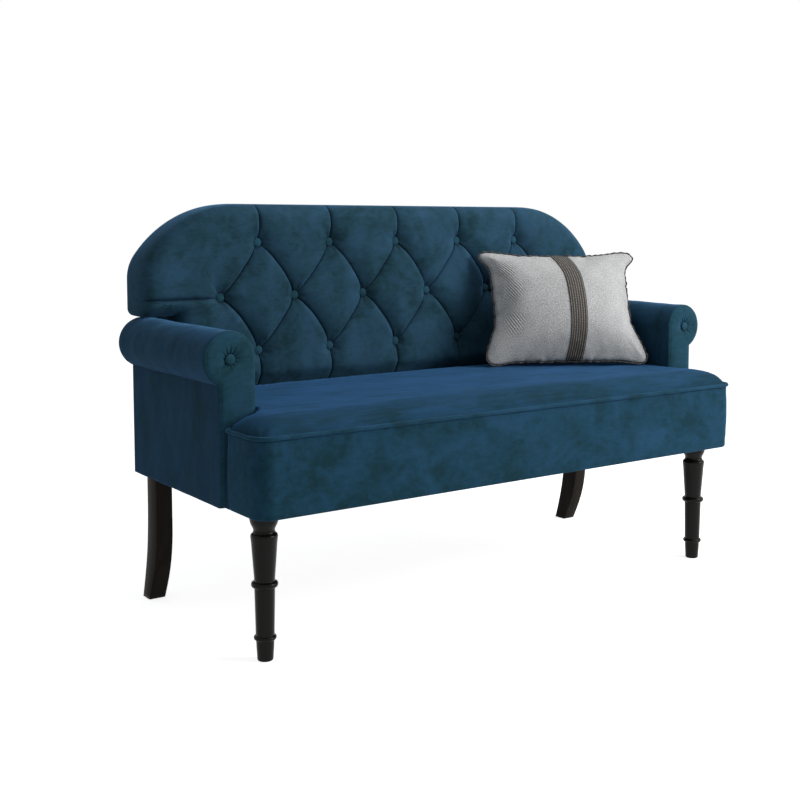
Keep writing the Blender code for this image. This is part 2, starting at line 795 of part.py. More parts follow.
def tuft_buttons():
    """Name, width and height of every button: rows of five, six and five."""
    places = []
    for row, count, label in ((1, 5, "top"), (0, 6, "middle"), (-1, 5, "low")):
        for i in range(count):
            x = (i - (count - 1) / 2) * BUTTON_SPACING
            places.append((f"{label}_{i + 1}", x, MIDDLE_ROW_Z + row * BUTTON_ROW))
    return places


def puff_at(x, z):
    """0 in the pleats and at the buttons, 1 on top of a puff.

    Between the outer pleats the pattern is a diamond lattice whose top and bottom rows
    open into upright pleats. Outside them one level pleat runs out to each side.
    """
    zeta = min(max((z - MIDDLE_ROW_Z) / BUTTON_ROW, -1.0), 1.0)
    boundary = BUTTON_SPACING * (2.0 + 0.5 * (1.0 - abs(zeta)))
    if abs(x) <= boundary:
        wave = math.cos(math.tau * x / BUTTON_SPACING) + math.cos(math.pi * zeta)
        return math.sqrt(abs(wave) / 2)
    t = min((abs(x) - boundary) / (0.5 * BUTTON_SPACING), 1.0)
    level = 1.0 - math.exp(-abs(z - MIDDLE_ROW_Z) / 0.014)
    return math.sin(math.pi / 2 * t) * (0.25 + 0.75 * level)


def fillet_geometry():
    """Where the shoulder's arc leaves for the side: centre of the corner fillet and its angles."""
    centre_z = BACK_TOP - SHOULDER_R
    fillet_x = BACK_HALF - SHOULDER_FILLET
    reach = SHOULDER_R - SHOULDER_FILLET
    rise = math.sqrt(reach**2 - (fillet_x - SHOULDER_X) ** 2)
    return fillet_x, centre_z + rise, math.degrees(math.atan2(rise, fillet_x - SHOULDER_X))


def back_half_width(z):
    """Half the back's width at a height: body, wing with its round corner, side, shoulder."""
    if z < WING_BOTTOM - 1e-6:
        return BODY_HALF
    if z < WING_BOTTOM + WING_R:
        up = WING_BOTTOM + WING_R - z
        return BACK_HALF - WING_R + math.sqrt(max(WING_R**2 - up**2, 0.0))
    fillet_x, fillet_z, angle = fillet_geometry()
    if z <= fillet_z:
        return BACK_HALF
    if z <= fillet_z + SHOULDER_FILLET * math.sin(math.radians(angle)):
        return fillet_x + math.sqrt(SHOULDER_FILLET**2 - (z - fillet_z) ** 2)
    up = z - (BACK_TOP - SHOULDER_R)
    return SHOULDER_X + math.sqrt(max(SHOULDER_R**2 - up**2, 0.0))


def back_outline(inset, bottom=BACK_BOTTOM, steps=10):
    """The back's outline on the +X side, from the bottom to the top's middle, drawn in."""
    fillet_x, fillet_z, angle = fillet_geometry()
    centre = (SHOULDER_X, BACK_TOP - SHOULDER_R)
    side = BODY_HALF - inset
    corner = bottom + inset
    under_wing = WING_BOTTOM + inset + GAP
    points = [(side - 0.0008, corner), (side, corner + 0.008), (side, under_wing)]
    low = (BACK_HALF - max(WING_R, inset), WING_BOTTOM + max(WING_R, inset))
    points += arc(low, max(WING_R - inset, GAP), -90, 0, 3)
    points += arc((fillet_x, fillet_z), SHOULDER_FILLET - inset, 0, angle, 3)
    points += arc(centre, SHOULDER_R - inset, angle, 90, steps)[1:]
    return points


def whole_outline(inset, bottom=BACK_BOTTOM, steps=10):
    half = back_outline(inset, bottom, steps)
    return half + [(-x, z) for x, z in reversed(half)]


def back_rows():
    """Heights of the back's grid: the lattice's quarter rows, and closer ones near the edges."""
    quarter = BUTTON_ROW / 4
    fixed = [BACK_BOTTOM, BACK_BOTTOM + 0.012, WING_BOTTOM, WING_BOTTOM + 0.008]
    fixed += [BACK_TOP - 0.020, BACK_TOP - 0.007, BACK_TOP]
    lattice = [MIDDLE_ROW_Z + i * quarter for i in range(-8, 9)]
    keep = [z for z in lattice if BACK_BOTTOM < z < BACK_TOP]
    keep = [z for z in keep if min(abs(z - f) for f in fixed) > 0.009]
    return sorted(fixed + keep)


def back_columns():
    """Half widths of the grid's columns at the widest row."""
    eighth = BUTTON_SPACING / 8
    lattice = [i * eighth for i in range(21)]
    return lattice + [BODY_HALF - 0.045, BODY_HALF - 0.012, BODY_HALF], [
        BODY_HALF + (BACK_HALF - BODY_HALF) * f for f in (0.50, 0.86, 1.0)
    ]


def edge_distance(x, z, half):
    """Distance from the back's outline, over the three sides that are near."""
    to_side = half - abs(x)
    if z > BACK_TOP - SHOULDER_R and abs(x) > SHOULDER_X:
        centre_z = BACK_TOP - SHOULDER_R
        away = math.hypot(abs(x) - SHOULDER_X, z - centre_z)
        to_side = min(to_side, SHOULDER_R - away)
    to_top = BACK_TOP - z
    to_bottom = z - BACK_BOTTOM
    if abs(x) > BODY_HALF + 1e-6:
        to_bottom = z - WING_BOTTOM
    return max(min(to_side, to_top, to_bottom), 0.0)


def back_depth(x, z, half):
    """Depth of the tufted face behind the seat's front face."""
    near = edge_distance(x, z, half)
    rounding = 1.0 - quarter_round(near, EDGE_ROUND)
    lift = PUFF * puff_at(x, z) * quarter_round(near, 1.6 * EDGE_ROUND)
    dimple = 0.0
    for _, bx, bz in tuft_buttons():
        away = math.hypot(x - bx, z - bz)
        if away < 0.004:
            dimple = DIMPLE
    tuck = smooth_step((SEAT_TOP_REAR + 0.030 - z) / 0.030)
    lift *= 1.0 - 0.8 * tuck
    return TUFT_Y - lift + dimple + EDGE_ROUND * 0.75 * rounding


def back_face_vertices(bm):
    """Rows of vertices of the tufted face; a row under the wings has only the body's columns."""
    body, wing = back_columns()
    two = 2.0 * BUTTON_SPACING
    rows = []
    for z in back_rows():
        half = back_half_width(z)
        columns = body if z < WING_BOTTOM - 1e-6 else body + wing
        widths = []
        for x in columns:
            if z >= WING_BOTTOM + 1e-6 and x > two:
                x = two + (half - two) * (x - two) / (BACK_HALF - two)
            widths.append(x)
        row = {}
        for i, x in enumerate(widths):
            y = FRONT + back_depth(x, z, half)
            row[i] = bm.verts.new((x, y, z))
            if i:
                row[-i] = bm.verts.new((-x, y, z))
        rows.append(row)
    return rows


def split_along_pleats(bm):
    """Cuts each quad along its deeper diagonal, so that the pleats stay sharp."""
    for face in [f for f in bm.faces if len(f.verts) == 4]:
        a, b, c, d = face.verts
        if a.co.y + c.co.y > b.co.y + d.co.y:
            bmesh.utils.face_split(face, a, c)
        else:
            bmesh.utils.face_split(face, b, d)


def make_back_cover(parent):
    """The tufted velvet with its wadding: a lid that wraps the foam and the frame's edge."""
    bm = bmesh.new()
    rows = back_face_vertices(bm)
    for low, high in zip(rows, rows[1:]):
        for i in sorted(low):
            if i + 1 in low and i in high and i + 1 in high:
                bm.faces.new((low[i], low[i + 1], high[i + 1], high[i]))
    split_along_pleats(bm)
    front_edge = [edge for edge in bm.edges if edge.is_boundary]
    made = bmesh.ops.extrude_edge_only(bm, edges=front_edge)["geom"]
    for vert in made:
        if isinstance(vert, bmesh.types.BMVert):
            vert.co.y = FRONT + rim_depth(vert.co.z - BACK_BOTTOM)
    outer = [edge for edge in bm.edges if edge.is_boundary]
    loop = outline_loop(bm, COVER, None)
    rim = [bm.edges.new(pair) for pair in zip(loop, loop[1:] + loop[:1])]
    bmesh.ops.bridge_loops(bm, edges=outer + rim)
    ledge = FRAME_Y - WEBBING - 3 * GAP
    for inset, depth in ((COVER, ledge), (FOAM_INSET, ledge), (FOAM_INSET, POCKET_Y)):
        deeper = outline_loop(bm, inset, depth)
        for i in range(len(loop)):
            bm.faces.new((loop[i - 1], loop[i], deeper[i], deeper[i - 1]))
        loop = deeper
    middle = bm.verts.new((0.0, FRONT + POCKET_Y, MIDDLE_ROW_Z))
    for i in range(len(loop)):
        bm.faces.new((loop[i - 1], loop[i], middle))
    bmesh.ops.recalc_face_normals(bm, faces=bm.faces)
    object_from_bmesh("back_cover", bm, VELVET, parent, smooth=True)


def rim_depth(above_bottom):
    """The cover wraps to the outside panel, but its bottom edge stops before the frame."""
    return FRAME_Y - GAP - 0.0005 if above_bottom < COVER + 0.001 else DEPTH - 0.002


def outline_loop(bm, inset, depth):
    """Vertices along the back's outline, drawn in; without a depth they follow the rim."""
    loop = []
    for x, z in whole_outline(inset, steps=8):
        y = rim_depth(z - BACK_BOTTOM) if depth is None else depth
        loop.append(bm.verts.new((x, FRONT + y, z)))
    return loop


def make_back_buttons(parent):
    for label, x, z in tuft_buttons():
        y = back_depth(x, z, back_half_width(z))
        make_button(f"back_button_{label}", x, y, z, parent)


def make_back_padding(parent):
    foam_y = POCKET_Y + GAP
    web_y = FRAME_Y - GAP - WEBBING
    outline = whole_outline(FOAM_INSET + GAP, steps=8)
    upright_plate("back_foam", outline, foam_y, web_y - GAP - foam_y, FOAM, parent)
    make_webbing(web_y, parent)


def make_webbing(y, parent):
    """Straps across the back and up it, interlaced and stitched to one lattice."""
    stile_middle = BODY_HALF - COVER - STILE_W / 2 - 0.008
    low = BACK_BOTTOM + FOAM_INSET + GAP
    high = BACK_TOP - BACK_FRAME_INSET - 0.030
    ups = [stile_middle * f for f in (-0.72, -0.36, 0.0, 0.36, 0.72)]
    levels = [low + (high - low) * f for f in (0.12, 0.38, 0.64, 0.86)]
    bm = bmesh.new()
    columns = strap_lines(ups, -stile_middle - 0.02, stile_middle + 0.02)
    rows = strap_lines(levels, low, high)
    for i, (x0, x1) in enumerate(zip(columns, columns[1:])):
        for j, (z0, z1) in enumerate(zip(rows, rows[1:])):
            on_strap = i % 2 == 1 or j % 2 == 1
            if on_strap:
                corners = ((x0, z0), (x1, z0), (x1, z1), (x0, z1))
                bm.faces.new([bm.verts.new((x, FRONT + y, z)) for x, z in corners])
    bmesh.ops.remove_doubles(bm, verts=bm.verts, dist=0.00001)
    webbing = object_from_bmesh("back_webbing", bm, JUTE, parent)
    wall = webbing.modifiers.new("wall", "SOLIDIFY")
    wall.thickness = WEBBING
    wall.offset = -1.0


def strap_lines(middles, low, high):
    """Both edges of each strap, between the two ends of the straps that cross them."""
    lines = [low]
    for middle in middles:
        lines += [middle - WEBBING_W / 2, middle + WEBBING_W / 2]
    return lines + [high]


def make_back_frame(parent):
    """Boards that stand behind the seat's back rail and carry the padding."""
    inset = BACK_FRAME_INSET
    stile_out = BODY_HALF - COVER - GAP - 0.008
    stile_in = stile_out - STILE_W
    top = BACK_TOP - inset
    low = top - TOP_RAIL_H
    rear = PANEL_Y - GAP
    box("back_top_rail", (-SHOULDER_X, FRAME_Y, low), (SHOULDER_X, rear, top), WOOD, parent)
    box(
        "back_bottom_rail",
        (GAP - stile_in, FRAME_Y, FRAME_BOTTOM),
        (stile_in - GAP, rear, RAIL_TOP),
        WOOD,
        parent,
    )
    beside = SHOULDER_X + GAP
    board = [(stile_out, FRAME_BOTTOM), (stile_out, WING_BOTTOM + inset)]
    board += [p for p in back_outline(inset, steps=6)[3:] if p[0] > beside + 0.003]
    board += [(beside, top), (beside, low), (stile_in, low), (stile_in, FRAME_BOTTOM)]
    for name, side in (("left", -1), ("right", 1)):
        points = side_points(board, side)
        upright_plate(f"back_side_board_{name}", points, FRAME_Y, rear - FRAME_Y, WOOD, parent)
    panel = whole_outline(COVER + GAP, SEAT_BOTTOM - COVER - GAP, steps=8)
    outside = upright_plate(
        "back_outside_panel", panel, PANEL_Y, OUTSIDE_PANEL, VELVET, parent
    )
    add_panel_returns(outside)


def add_panel_returns(outside):
    """Below the back's cover the outside panel turns forward over the side boards."""
    side = BODY_HALF - COVER - 2 * GAP
    for sign in (-1, 1):
        xs = sorted((sign * side, sign * (side - COVER)))
        flange = box(
            f"panel_return_{sign + 1}",
            (xs[0], ARM_REAR + GAP, SEAT_BOTTOM + GAP),
            (xs[1], DEPTH - OUTSIDE_PANEL / 2, BACK_BOTTOM - GAP),
            VELVET,
            collection=CUTTERS,
        )
        hide_cutter(flange)
        add_boolean(outside, flange, "UNION")


# Legs


def front_leg_profile():
    """Radius and height down the turned leg: bore, flare, neck, shoulder, rings and foot."""
    top = SEAT_BOTTOM
    bore = HANGER + GAP
    shares = [(1.0, 1.0), (0.954, 0.934)]
    shares += [(0.789, 0.902), (0.730, 0.883), (0.779, 0.864)]
    shares += [(0.905, 0.850), (0.926, 0.836), (0.877, 0.801)]
    shares += [(0.811, 0.703), (0.751, 0.622), (0.698, 0.554)]
    shares += [(0.702, 0.538), (0.877, 0.530), (0.916, 0.517), (0.877, 0.505)]
    shares += [(0.702, 0.495), (0.677, 0.418), (0.646, 0.240), (0.639, 0.174)]
    shares += [(0.744, 0.167), (0.772, 0.156), (0.744, 0.145)]
    shares += [(0.618, 0.138), (0.582, 0.079), (0.547, 0.007), (0.491, 0.0), (0.0, 0.0)]
    profile = [(0.0, top - bore), (BOLT_HOLE, top - bore), (BOLT_HOLE, top)]
    return profile + [(LEG_TOP_R * across, top * up) for across, up in shares]


def make_front_legs():
    for name, side in (("left", -1), ("right", 1)):
        leg = turned(f"front_leg_{name}", front_leg_profile(), 16, LEG_WOOD)
        leg.location = (side * FRONT_LEG_X, FRONT + FRONT_LEG_Y, 0.0)


def rear_leg_side():
    """Depth and height of the sabre leg's side: front edge down, rear edge up."""
    front = [(0.0, 1.0), (0.0, 0.697), (0.01, 0.523)]
    front += [(0.11, 0.383), (0.29, 0.261), (0.56, 0.139), (0.942, 0.0)]
    rear = [(1.694, 0.0), (1.44, 0.157), (1.24, 0.303), (1.11, 0.4355)]
    rear += [(1.032, 0.592), (1.0, 0.749), (1.0, 1.0)]
    return [(REAR_LEG_Y + REAR_LEG_D * across, SEAT_BOTTOM * up) for across, up in front + rear]


def rear_leg_top_y():
    side = rear_leg_side()
    return (side[0][0] + side[-1][0]) / 2


def make_rear_legs():
    """Square sabre legs: the side outline, as thick as the leg is wide."""
    turn = Matrix.Rotation(math.pi / 2, 4, "Z") @ Matrix.Rotation(math.pi / 2, 4, "X")
    for name, side in (("left", -1), ("right", 1)):
        bm = plate_bmesh(rear_leg_side(), REAR_LEG_W, bevel=0.002)
        bmesh.ops.transform(bm, verts=bm.verts, matrix=turn)
        leg = object_from_bmesh(f"rear_leg_{name}", bm, LEG_WOOD)
        leg.location = (side * REAR_LEG_X, FRONT, 0.0)
        _, x, y = leg_places()[2 if side < 0 else 3]
        cut_hole(leg, (x, y, SEAT_BOTTOM), (0, 0, 1), BOLT_HOLE, 2 * (HANGER + GAP))


def make_leg_bolts():
    """One threaded hanger bolt joins each leg to its board."""
    for label, x, y in leg_places():
        bm = cylinder_mesh(BOLT_R, 2 * HANGER - 2 * GAP, 10)
        bolt = object_from_bmesh(f"leg_bolt_{label}", bm, STEEL)
        bolt.location = (x, FRONT + y, SEAT_BOTTOM)


# Throw pillow


def pillow_point(u, v):
    """Point of the pillow's front at u, v in -1..1: width, height, and depth towards -Y."""
    x = u * (PILLOW_W / 2 - PILLOW_SIDE_IN * (1.0 - v * v))
    z = PILLOW_H / 2 + v * (PILLOW_H / 2 - PILLOW_TOP_IN * (1.0 - u * u))
    swell = max((1.0 - u * u) * (1.0 - v * v), 0.0) ** 0.48
    return Vector((x, -PILLOW_T / 2 * swell, z))


def band_limits():
    left = (BAND_X - BAND_W / 2) / (PILLOW_W / 2 - PILLOW_SIDE_IN)
    right = (BAND_X + BAND_W / 2) / (PILLOW_W / 2 - PILLOW_SIDE_IN)
    return left, right


def pillow_lines():
    left, right = band_limits()
    us = [-1.0, -0.975, -0.90, -0.74, -0.52, -0.28, -0.10]
    us += [left, right, 0.38, 0.58, 0.77, 0.91, 0.975, 1.0]
    vs = [-1.0, -0.965, -0.86, -0.68, -0.42, -0.14, 0.14, 0.42, 0.68, 0.86, 0.965, 1.0]
    return us, vs


def sheet_bmesh(us, vs, point_at):
    """A grid of quads through the points that point_at gives."""
    bm = bmesh.new()
    rows = [[bm.verts.new(point_at(u, v)) for u in us] for v in vs]
    for low, high in zip(rows, rows[1:]):
        for i in range(len(us) - 1):
            bm.faces.new((low[i], low[i + 1], high[i + 1], high[i]))
    return bm


def make_pillow():
    """The cushion, its ribbon band and its trim, all on one empty at the seat."""
    yaw = math.radians(PILLOW_YAW)
    reach = PILLOW_W / 2
    left, right = (
        seat_top(PILLOW_X + s * reach * math.cos(yaw), PILLOW_Y + s * reach * math.sin(yaw))
        for s in (-1, 1)
    )
    roll = math.atan2(left - right, PILLOW_W)
    height = (left + right) / 2 + 2 * TRIM_R + GAP
    turn = Matrix.Rotation(yaw, 4, "Z") @ Matrix.Rotation(roll, 4, "Y")
    turn @= Matrix.Rotation(-math.radians(PILLOW_LEAN), 4, "X")
    stand = make_empty("pillow_stand", (PILLOW_X, FRONT + PILLOW_Y, height), turn.to_euler())
    us, vs = pillow_lines()
    bm = sheet_bmesh(us, vs, pillow_point)
    cushion = object_from_bmesh("pillow_cushion", bm, GREY_WEAVE, stand, smooth=True)
    halves = cushion.modifiers.new("halves", "MIRROR")
    halves.use_axis = (False, True, False)
    halves.merge_threshold = 0.00001
    make_pillow_band(stand, vs[1:-1])
    make_pillow_trim(stand)


def make_pillow_band(parent, vs):
    """Ribbon sewn on the front, from seam to seam, just clear of the cushion."""

    def point(u, v):
        return pillow_point(u, v) + Vector((0.0, -2 * GAP, 0.0))

    bm = sheet_bmesh(band_limits(), vs, point)
    band = object_from_bmesh("pillow_band", bm, RIBBON, parent, smooth=True)
    wall = band.modifiers.new("wall", "SOLIDIFY")
    wall.thickness = BAND_T
    wall.offset = 1.0


def make_pillow_trim(parent):
    """Narrow trim along the seam, all round the cushion."""
    steps = np.linspace(-1.0, 1.0, 9)
    loop = [(u, -1.0) for u in steps] + [(1.0, v) for v in steps[1:]]
    loop += [(u, 1.0) for u in steps[-2::-1]] + [(-1.0, v) for v in steps[-2:0:-1]]
    seam = [pillow_point(u, v) for u, v in loop]
    points = []
    for i, here in enumerate(seam):
        before = seam[i - 1]
        after = seam[(i + 1) % len(seam)]
        into = (here - before).normalized()
        out = (after - here).normalized()
        along = (into + out).normalized()
        side = Vector((along.z, 0.0, -along.x))
        spread = (TRIM_R + 2 * GAP) / max(side.dot(Vector((into.z, 0.0, -into.x))), 0.5)
        points.append(here + side * spread)
    tube("pillow_trim", points, TRIM_R, RIBBON, parent, resolution=1, cyclic=True)


def build():
    seat = make_empty("seat_assembly")
    back = make_empty("back_assembly")
    make_seat_frame(seat)
    make_spring_unit(seat)
    make_seat_foam(seat)
    make_seat_cover(seat)
    make_seat_welt(seat)
    make_dust_cover(seat)
    for name, side in (("left", -1), ("right", 1)):
        arm = make_empty(f"arm_assembly_{name}")
        make_arm_frame(name, side, arm)
        make_arm_cover(name, side, arm)
        make_arm_facing(name, side, arm)
        make_arm_button(name, side, arm)
    make_back_frame(back)
    make_back_padding(back)
    make_back_cover(back)
    make_back_buttons(back)
    make_front_legs()
    make_rear_legs()
    make_leg_bolts()
    make_pillow()


build()
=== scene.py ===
"""Looks of the rolled arm loveseat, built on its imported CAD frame."""
import json
import math

import bmesh
import bpy
import numpy as np
from mathutils import Matrix, Vector


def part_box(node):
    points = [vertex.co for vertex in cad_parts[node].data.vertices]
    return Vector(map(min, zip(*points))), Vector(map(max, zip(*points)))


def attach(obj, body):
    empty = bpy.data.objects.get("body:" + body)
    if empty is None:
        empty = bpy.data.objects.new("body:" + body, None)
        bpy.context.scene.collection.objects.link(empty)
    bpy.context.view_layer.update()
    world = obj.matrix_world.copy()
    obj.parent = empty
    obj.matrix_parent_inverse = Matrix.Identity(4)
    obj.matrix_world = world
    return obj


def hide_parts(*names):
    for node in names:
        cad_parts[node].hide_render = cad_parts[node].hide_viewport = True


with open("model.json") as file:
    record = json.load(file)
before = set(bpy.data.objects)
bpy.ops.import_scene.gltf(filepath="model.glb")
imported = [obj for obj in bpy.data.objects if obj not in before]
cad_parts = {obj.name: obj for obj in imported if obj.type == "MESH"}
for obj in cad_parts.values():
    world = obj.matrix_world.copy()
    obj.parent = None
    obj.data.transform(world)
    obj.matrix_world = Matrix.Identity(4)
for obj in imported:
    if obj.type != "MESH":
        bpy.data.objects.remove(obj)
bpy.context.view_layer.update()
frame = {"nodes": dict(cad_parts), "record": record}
NODES = frame["nodes"]

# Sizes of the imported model, in metres. Depths are measured from the seat's front face.
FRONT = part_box("seat_cover")[0].y
DEPTH = 0.600
SEAT_HALF = 0.650
SEAT_BOTTOM = 0.287
WELT_Z = 0.438
WELT_R = 0.0042
NOTCH = 0.005
CROWN_RISE = 0.032
CROWN_MIDDLE = 0.006
CROWN_ROLL = 0.062
CROWN_ROLL_BACK = 0.030
CROWN_FALL = 0.014
CROWN_FALL_LENGTH = 0.110
EAR_DEPTH = 0.133
EAR_FRONT_R = 0.034
EAR_BACK_R = 0.014
TUCK_Z = 0.400
ARM_FRONT = 0.143
ARM_REAR = DEPTH - 0.027
ARM_OUTER = SEAT_HALF + 0.008
ROLL_X = SEAT_HALF - 0.016
ROLL_Z = 0.574
ROLL_R = 0.055
ARM_INNER = ROLL_X - ROLL_R
BODY_HALF = ARM_INNER - 0.0015
BACK_TOP = 0.8775
BACK_BOTTOM = 0.452
BACK_HALF = ARM_OUTER
WING_BOTTOM = ROLL_Z + ROLL_R + 0.0015
WING_R = 0.016
SHOULDER_X = 0.420
SHOULDER_R = 0.272
SHOULDER_FILLET = 0.090
TUFT_Y = DEPTH - 0.0845
SEAT_DEPTH = TUFT_Y - 0.0005
SEAT_TOP_REAR = 0.4664
PUFF = 0.021
EDGE_ROUND = 0.030
BUTTON_SPACING = 0.1896
BUTTON_ROW = 0.1231
BUTTON_R = 0.0105
MIDDLE_ROW_Z = 0.6675
PILLOW_W = 0.413
PILLOW_H = 0.305
PILLOW_T = 0.125
PILLOW_X = SEAT_HALF - 0.288
PILLOW_Y = TUFT_Y - 0.2415
PILLOW_YAW = -25.0
PILLOW_LEAN = 25.0
BAND_X = 0.022
BAND_W = 0.043


# Materials


class Nodes:
    """A node tree with short calls for the nodes that are used here."""

    def __init__(self, owner):
        owner.use_nodes = True
        self.owner = owner
        self.tree = owner.node_tree
        self.shader = self.tree.nodes.get("Principled BSDF")

    def give(self, slot, value):
        """Links a socket to an input, or sets the input to a number or a colour."""
        if isinstance(value, bpy.types.NodeSocket):
            self.tree.links.new(value, slot)
        elif isinstance(value, tuple) and slot.type == "RGBA":
            slot.default_value = (*value, 1.0)
        else:
            slot.default_value = value

    def node(self, kind, output, inputs=(), **values):
        """Adds a node, sets it up and returns the output that is used."""
        made = self.tree.nodes.new("ShaderNode" + kind)
        for key, value in values.items():
            setattr(made, key, value)
        for place, value in dict(inputs).items():
            self.give(made.inputs[place], value)
        return made.outputs[output]

    def space(self, scale=None, turn=0.0, output="Object"):
        """Coordinates in metres, stretched and turned where a scale is given."""
        vector = self.node("TexCoord", output)
        if scale is None:
            return vector
        return self.node("Mapping", 0, {"Scale": scale, "Rotation": (0.0, 0.0, turn), "Vector": vector})

    def noise(self, scale, detail=3.0, roughness=0.5, distortion=0.0, vector=None):
        inputs = {"Scale": scale, "Detail": detail, "Roughness": roughness, "Distortion": distortion}
        return self.node("TexNoise", "Fac", inputs | {"Vector": vector or self.space()})

    def wave(self, scale, direction, distortion, vector):
        inputs = {"Scale": scale, "Distortion": distortion, "Vector": vector}
        return self.node("TexWave", "Fac", inputs, bands_direction=direction)

    def math(self, operation, a, b=0.0, clamp=False):
        return self.node("Math", 0, enumerate((a, b)), operation=operation, use_clamp=clamp)

    def total(self, *terms):
        """Adds up sockets, each times its weight."""
        added = None
        for socket, weight in terms:
            part = socket if weight == 1.0 else self.math("MULTIPLY", socket, weight)
            added = self.math("ADD", added, part) if added else part
        return added

    def ramp(self, factor, *stops):
        colour = self.node("ValToRGB", "Color", {"Fac": factor})
        elements = colour.node.color_ramp.elements
        while len(elements) < len(stops):
            elements.new(0.5)
        for element, (position, value) in zip(elements, stops):
            element.position = position
            element.color = (*value, 1.0)
        return colour

    def spread(self, factor, low, high, out_low=0.0, out_high=1.0):
        """Maps a value's useful range to another, held at the ends."""
        return self.node("MapRange", 0, enumerate((factor, low, high, out_low, out_high)), clamp=True)

    def mix(self, factor, a, b, blend="MIX"):
        return self.node("Mix", 2, {0: factor, 6: a, 7: b}, data_type="RGBA", blend_type=blend)

    def set(self, **values):
        for key, value in values.items():
            self.give(self.shader.inputs[key.replace("_", " ")], value)

    def bump(self, height, strength, distance):
        inputs = {"Height": height, "Strength": strength, "Distance": distance}
        self.set(Normal=self.node("Bump", "Normal", inputs))

    def seen_rays(self):
        """1 for the rays that show the background: camera, glossy and transmission."""
        rays = self.node("LightPath", 0).node.outputs
        seen = self.math("MAXIMUM", rays["Is Camera Ray"], rays["Is Glossy Ray"])
        return self.math("MAXIMUM", seen, rays["Is Transmission Ray"])


def velvet(name, deep, middle, bright, stretch=(1.0, 1.0, 1.0), run=(0.5, 1.0, 1.6), painted_lift=0.0, brushed=0.16,
           sheen=0.50, tint=(0.16, 0.42, 0.82)):
    """Crushed pile: soft patches that tend to green and to blue, fine nap, and painted shade from the
    painted_shade attribute.
    """
    n = Nodes(bpy.data.materials.new(name))
    vector = n.space(stretch)
    patches = n.noise(9.0, 5.0, 0.62, 0.7, vector)
    blotches = n.noise(27.0, 5.0, 0.65, 0.9, vector)
    strokes = n.noise(95.0, 3.0, 0.6, 0.4, n.space(run))
    nap = n.noise(900.0, 2.0, 0.6)
    tone = n.total((patches, 0.58 - brushed / 2), (blotches, 0.42 - brushed / 2), (strokes, brushed))
    # painted_lift raises the whole tone; only the back uses it, as painted light.
    tone = n.spread(n.math("ADD", tone, painted_lift), 0.40, 0.60)
    colour = n.ramp(tone, (0.0, deep), (0.45, middle), (1.0, bright))
    grain = n.ramp(n.spread(nap, 0.3, 0.7, 0.43, 0.57), (0.0, (0.0, 0.0, 0.0)), (1.0, (2.0, 2.0, 2.0)))
    # Painted shade: the per-point painted_shade attribute darkens the colour towards a dark teal in pleats,
    # creases and gaps.
    painted_shade = n.node("Attribute", "Fac", attribute_name="painted_shade")
    painted_shade = n.math("MULTIPLY", painted_shade, 0.9, clamp=True)
    colour = n.mix(painted_shade, n.mix(1.0, colour, grain, "MULTIPLY"), (0.0022, 0.0065, 0.0095))
    n.set(Base_Color=colour, Roughness=n.spread(blotches, 0.3, 0.7, 0.80, 0.94), Specular_IOR_Level=0.08)
    n.set(Sheen_Weight=sheen, Sheen_Roughness=0.34, Sheen_Tint=tint)
    n.bump(n.total((nap, 0.6), (blotches, 1.2)), 0.35, 0.0009)
    return n.owner


def lacquer(name, dark, light, shine):
    """Stained and lacquered leg: grain along the leg, worn to a satin shine."""
    n = Nodes(bpy.data.materials.new(name))
    grain = n.noise(34.0, 5.0, 0.6, 1.2, n.space((1.0, 1.0, 0.06)))
    wear = n.spread(n.noise(60.0, 4.0, 0.6), 0.3, 0.7, 0.15, 0.26)
    n.set(Base_Color=n.ramp(grain, (0.25, dark), (0.8, light)), Roughness=wear, Specular_IOR_Level=shine)
    n.bump(grain, 0.25, 0.0005)
    return n.owner


def frame_wood():
    """Sawn frame timber with rings and open pores."""
    n = Nodes(bpy.data.materials.new("frame_wood"))
    dark = (0.30, 0.19, 0.095)
    rings = n.noise(30.0, 6.0, 0.6, 2.0, n.space((0.15, 1.0, 1.0)))
    pores = n.noise(420.0, 2.0, 0.6, 0.0, n.space((0.08, 1.0, 1.0)))
    light = n.ramp(rings, (0.3, dark), (0.7, (0.55, 0.38, 0.21)))
    n.set(Base_Color=n.mix(n.spread(pores, 0.35, 0.5), dark, light))
    n.set(Roughness=n.spread(rings, 0.3, 0.7, 0.55, 0.72))
    n.bump(pores, 0.3, 0.0004)
    return n.owner


def grained(name, low, high, scale, roughness, metallic=0.0, bump=0.0006):
    """Even material with a fine grain."""
    n = Nodes(bpy.data.materials.new(name))
    grain = n.noise(scale, 4.0, 0.6)
    n.set(Base_Color=n.ramp(grain, (0.3, low), (0.7, high)), Metallic=metallic)
    n.set(Roughness=n.spread(grain, 0.3, 0.7, roughness * 0.85, min(1.0, roughness * 1.15)))
    n.bump(grain, 0.4, bump)
    return n.owner


def woven(name, low, high, threads, roughness):
    """Plain weave: two sets of threads that cross, with uneven yarn."""
    n = Nodes(bpy.data.materials.new(name))
    vector = n.space((1.0, 1.0, 1.0))
    weave = n.math("MULTIPLY", n.wave(threads, "X", 0.4, vector), n.wave(threads, "Z", 0.4, vector))
    yarn = n.noise(threads * 3.2, 3.0, 0.7, 0.0, vector)
    soft = n.noise(18.0, 3.0, 0.5, 0.0, vector)
    tone = n.total((weave, 0.5), (yarn, 0.5), (soft, 0.18))
    n.set(Base_Color=n.ramp(n.spread(tone, 0.22, 0.78), (0.0, low), (1.0, high)), Roughness=roughness)
    n.set(Sheen_Weight=0.12, Sheen_Roughness=0.5, Specular_IOR_Level=0.2)
    n.bump(n.total((weave, 1.0), (yarn, 0.7)), 0.55, 0.0005)
    return n.owner


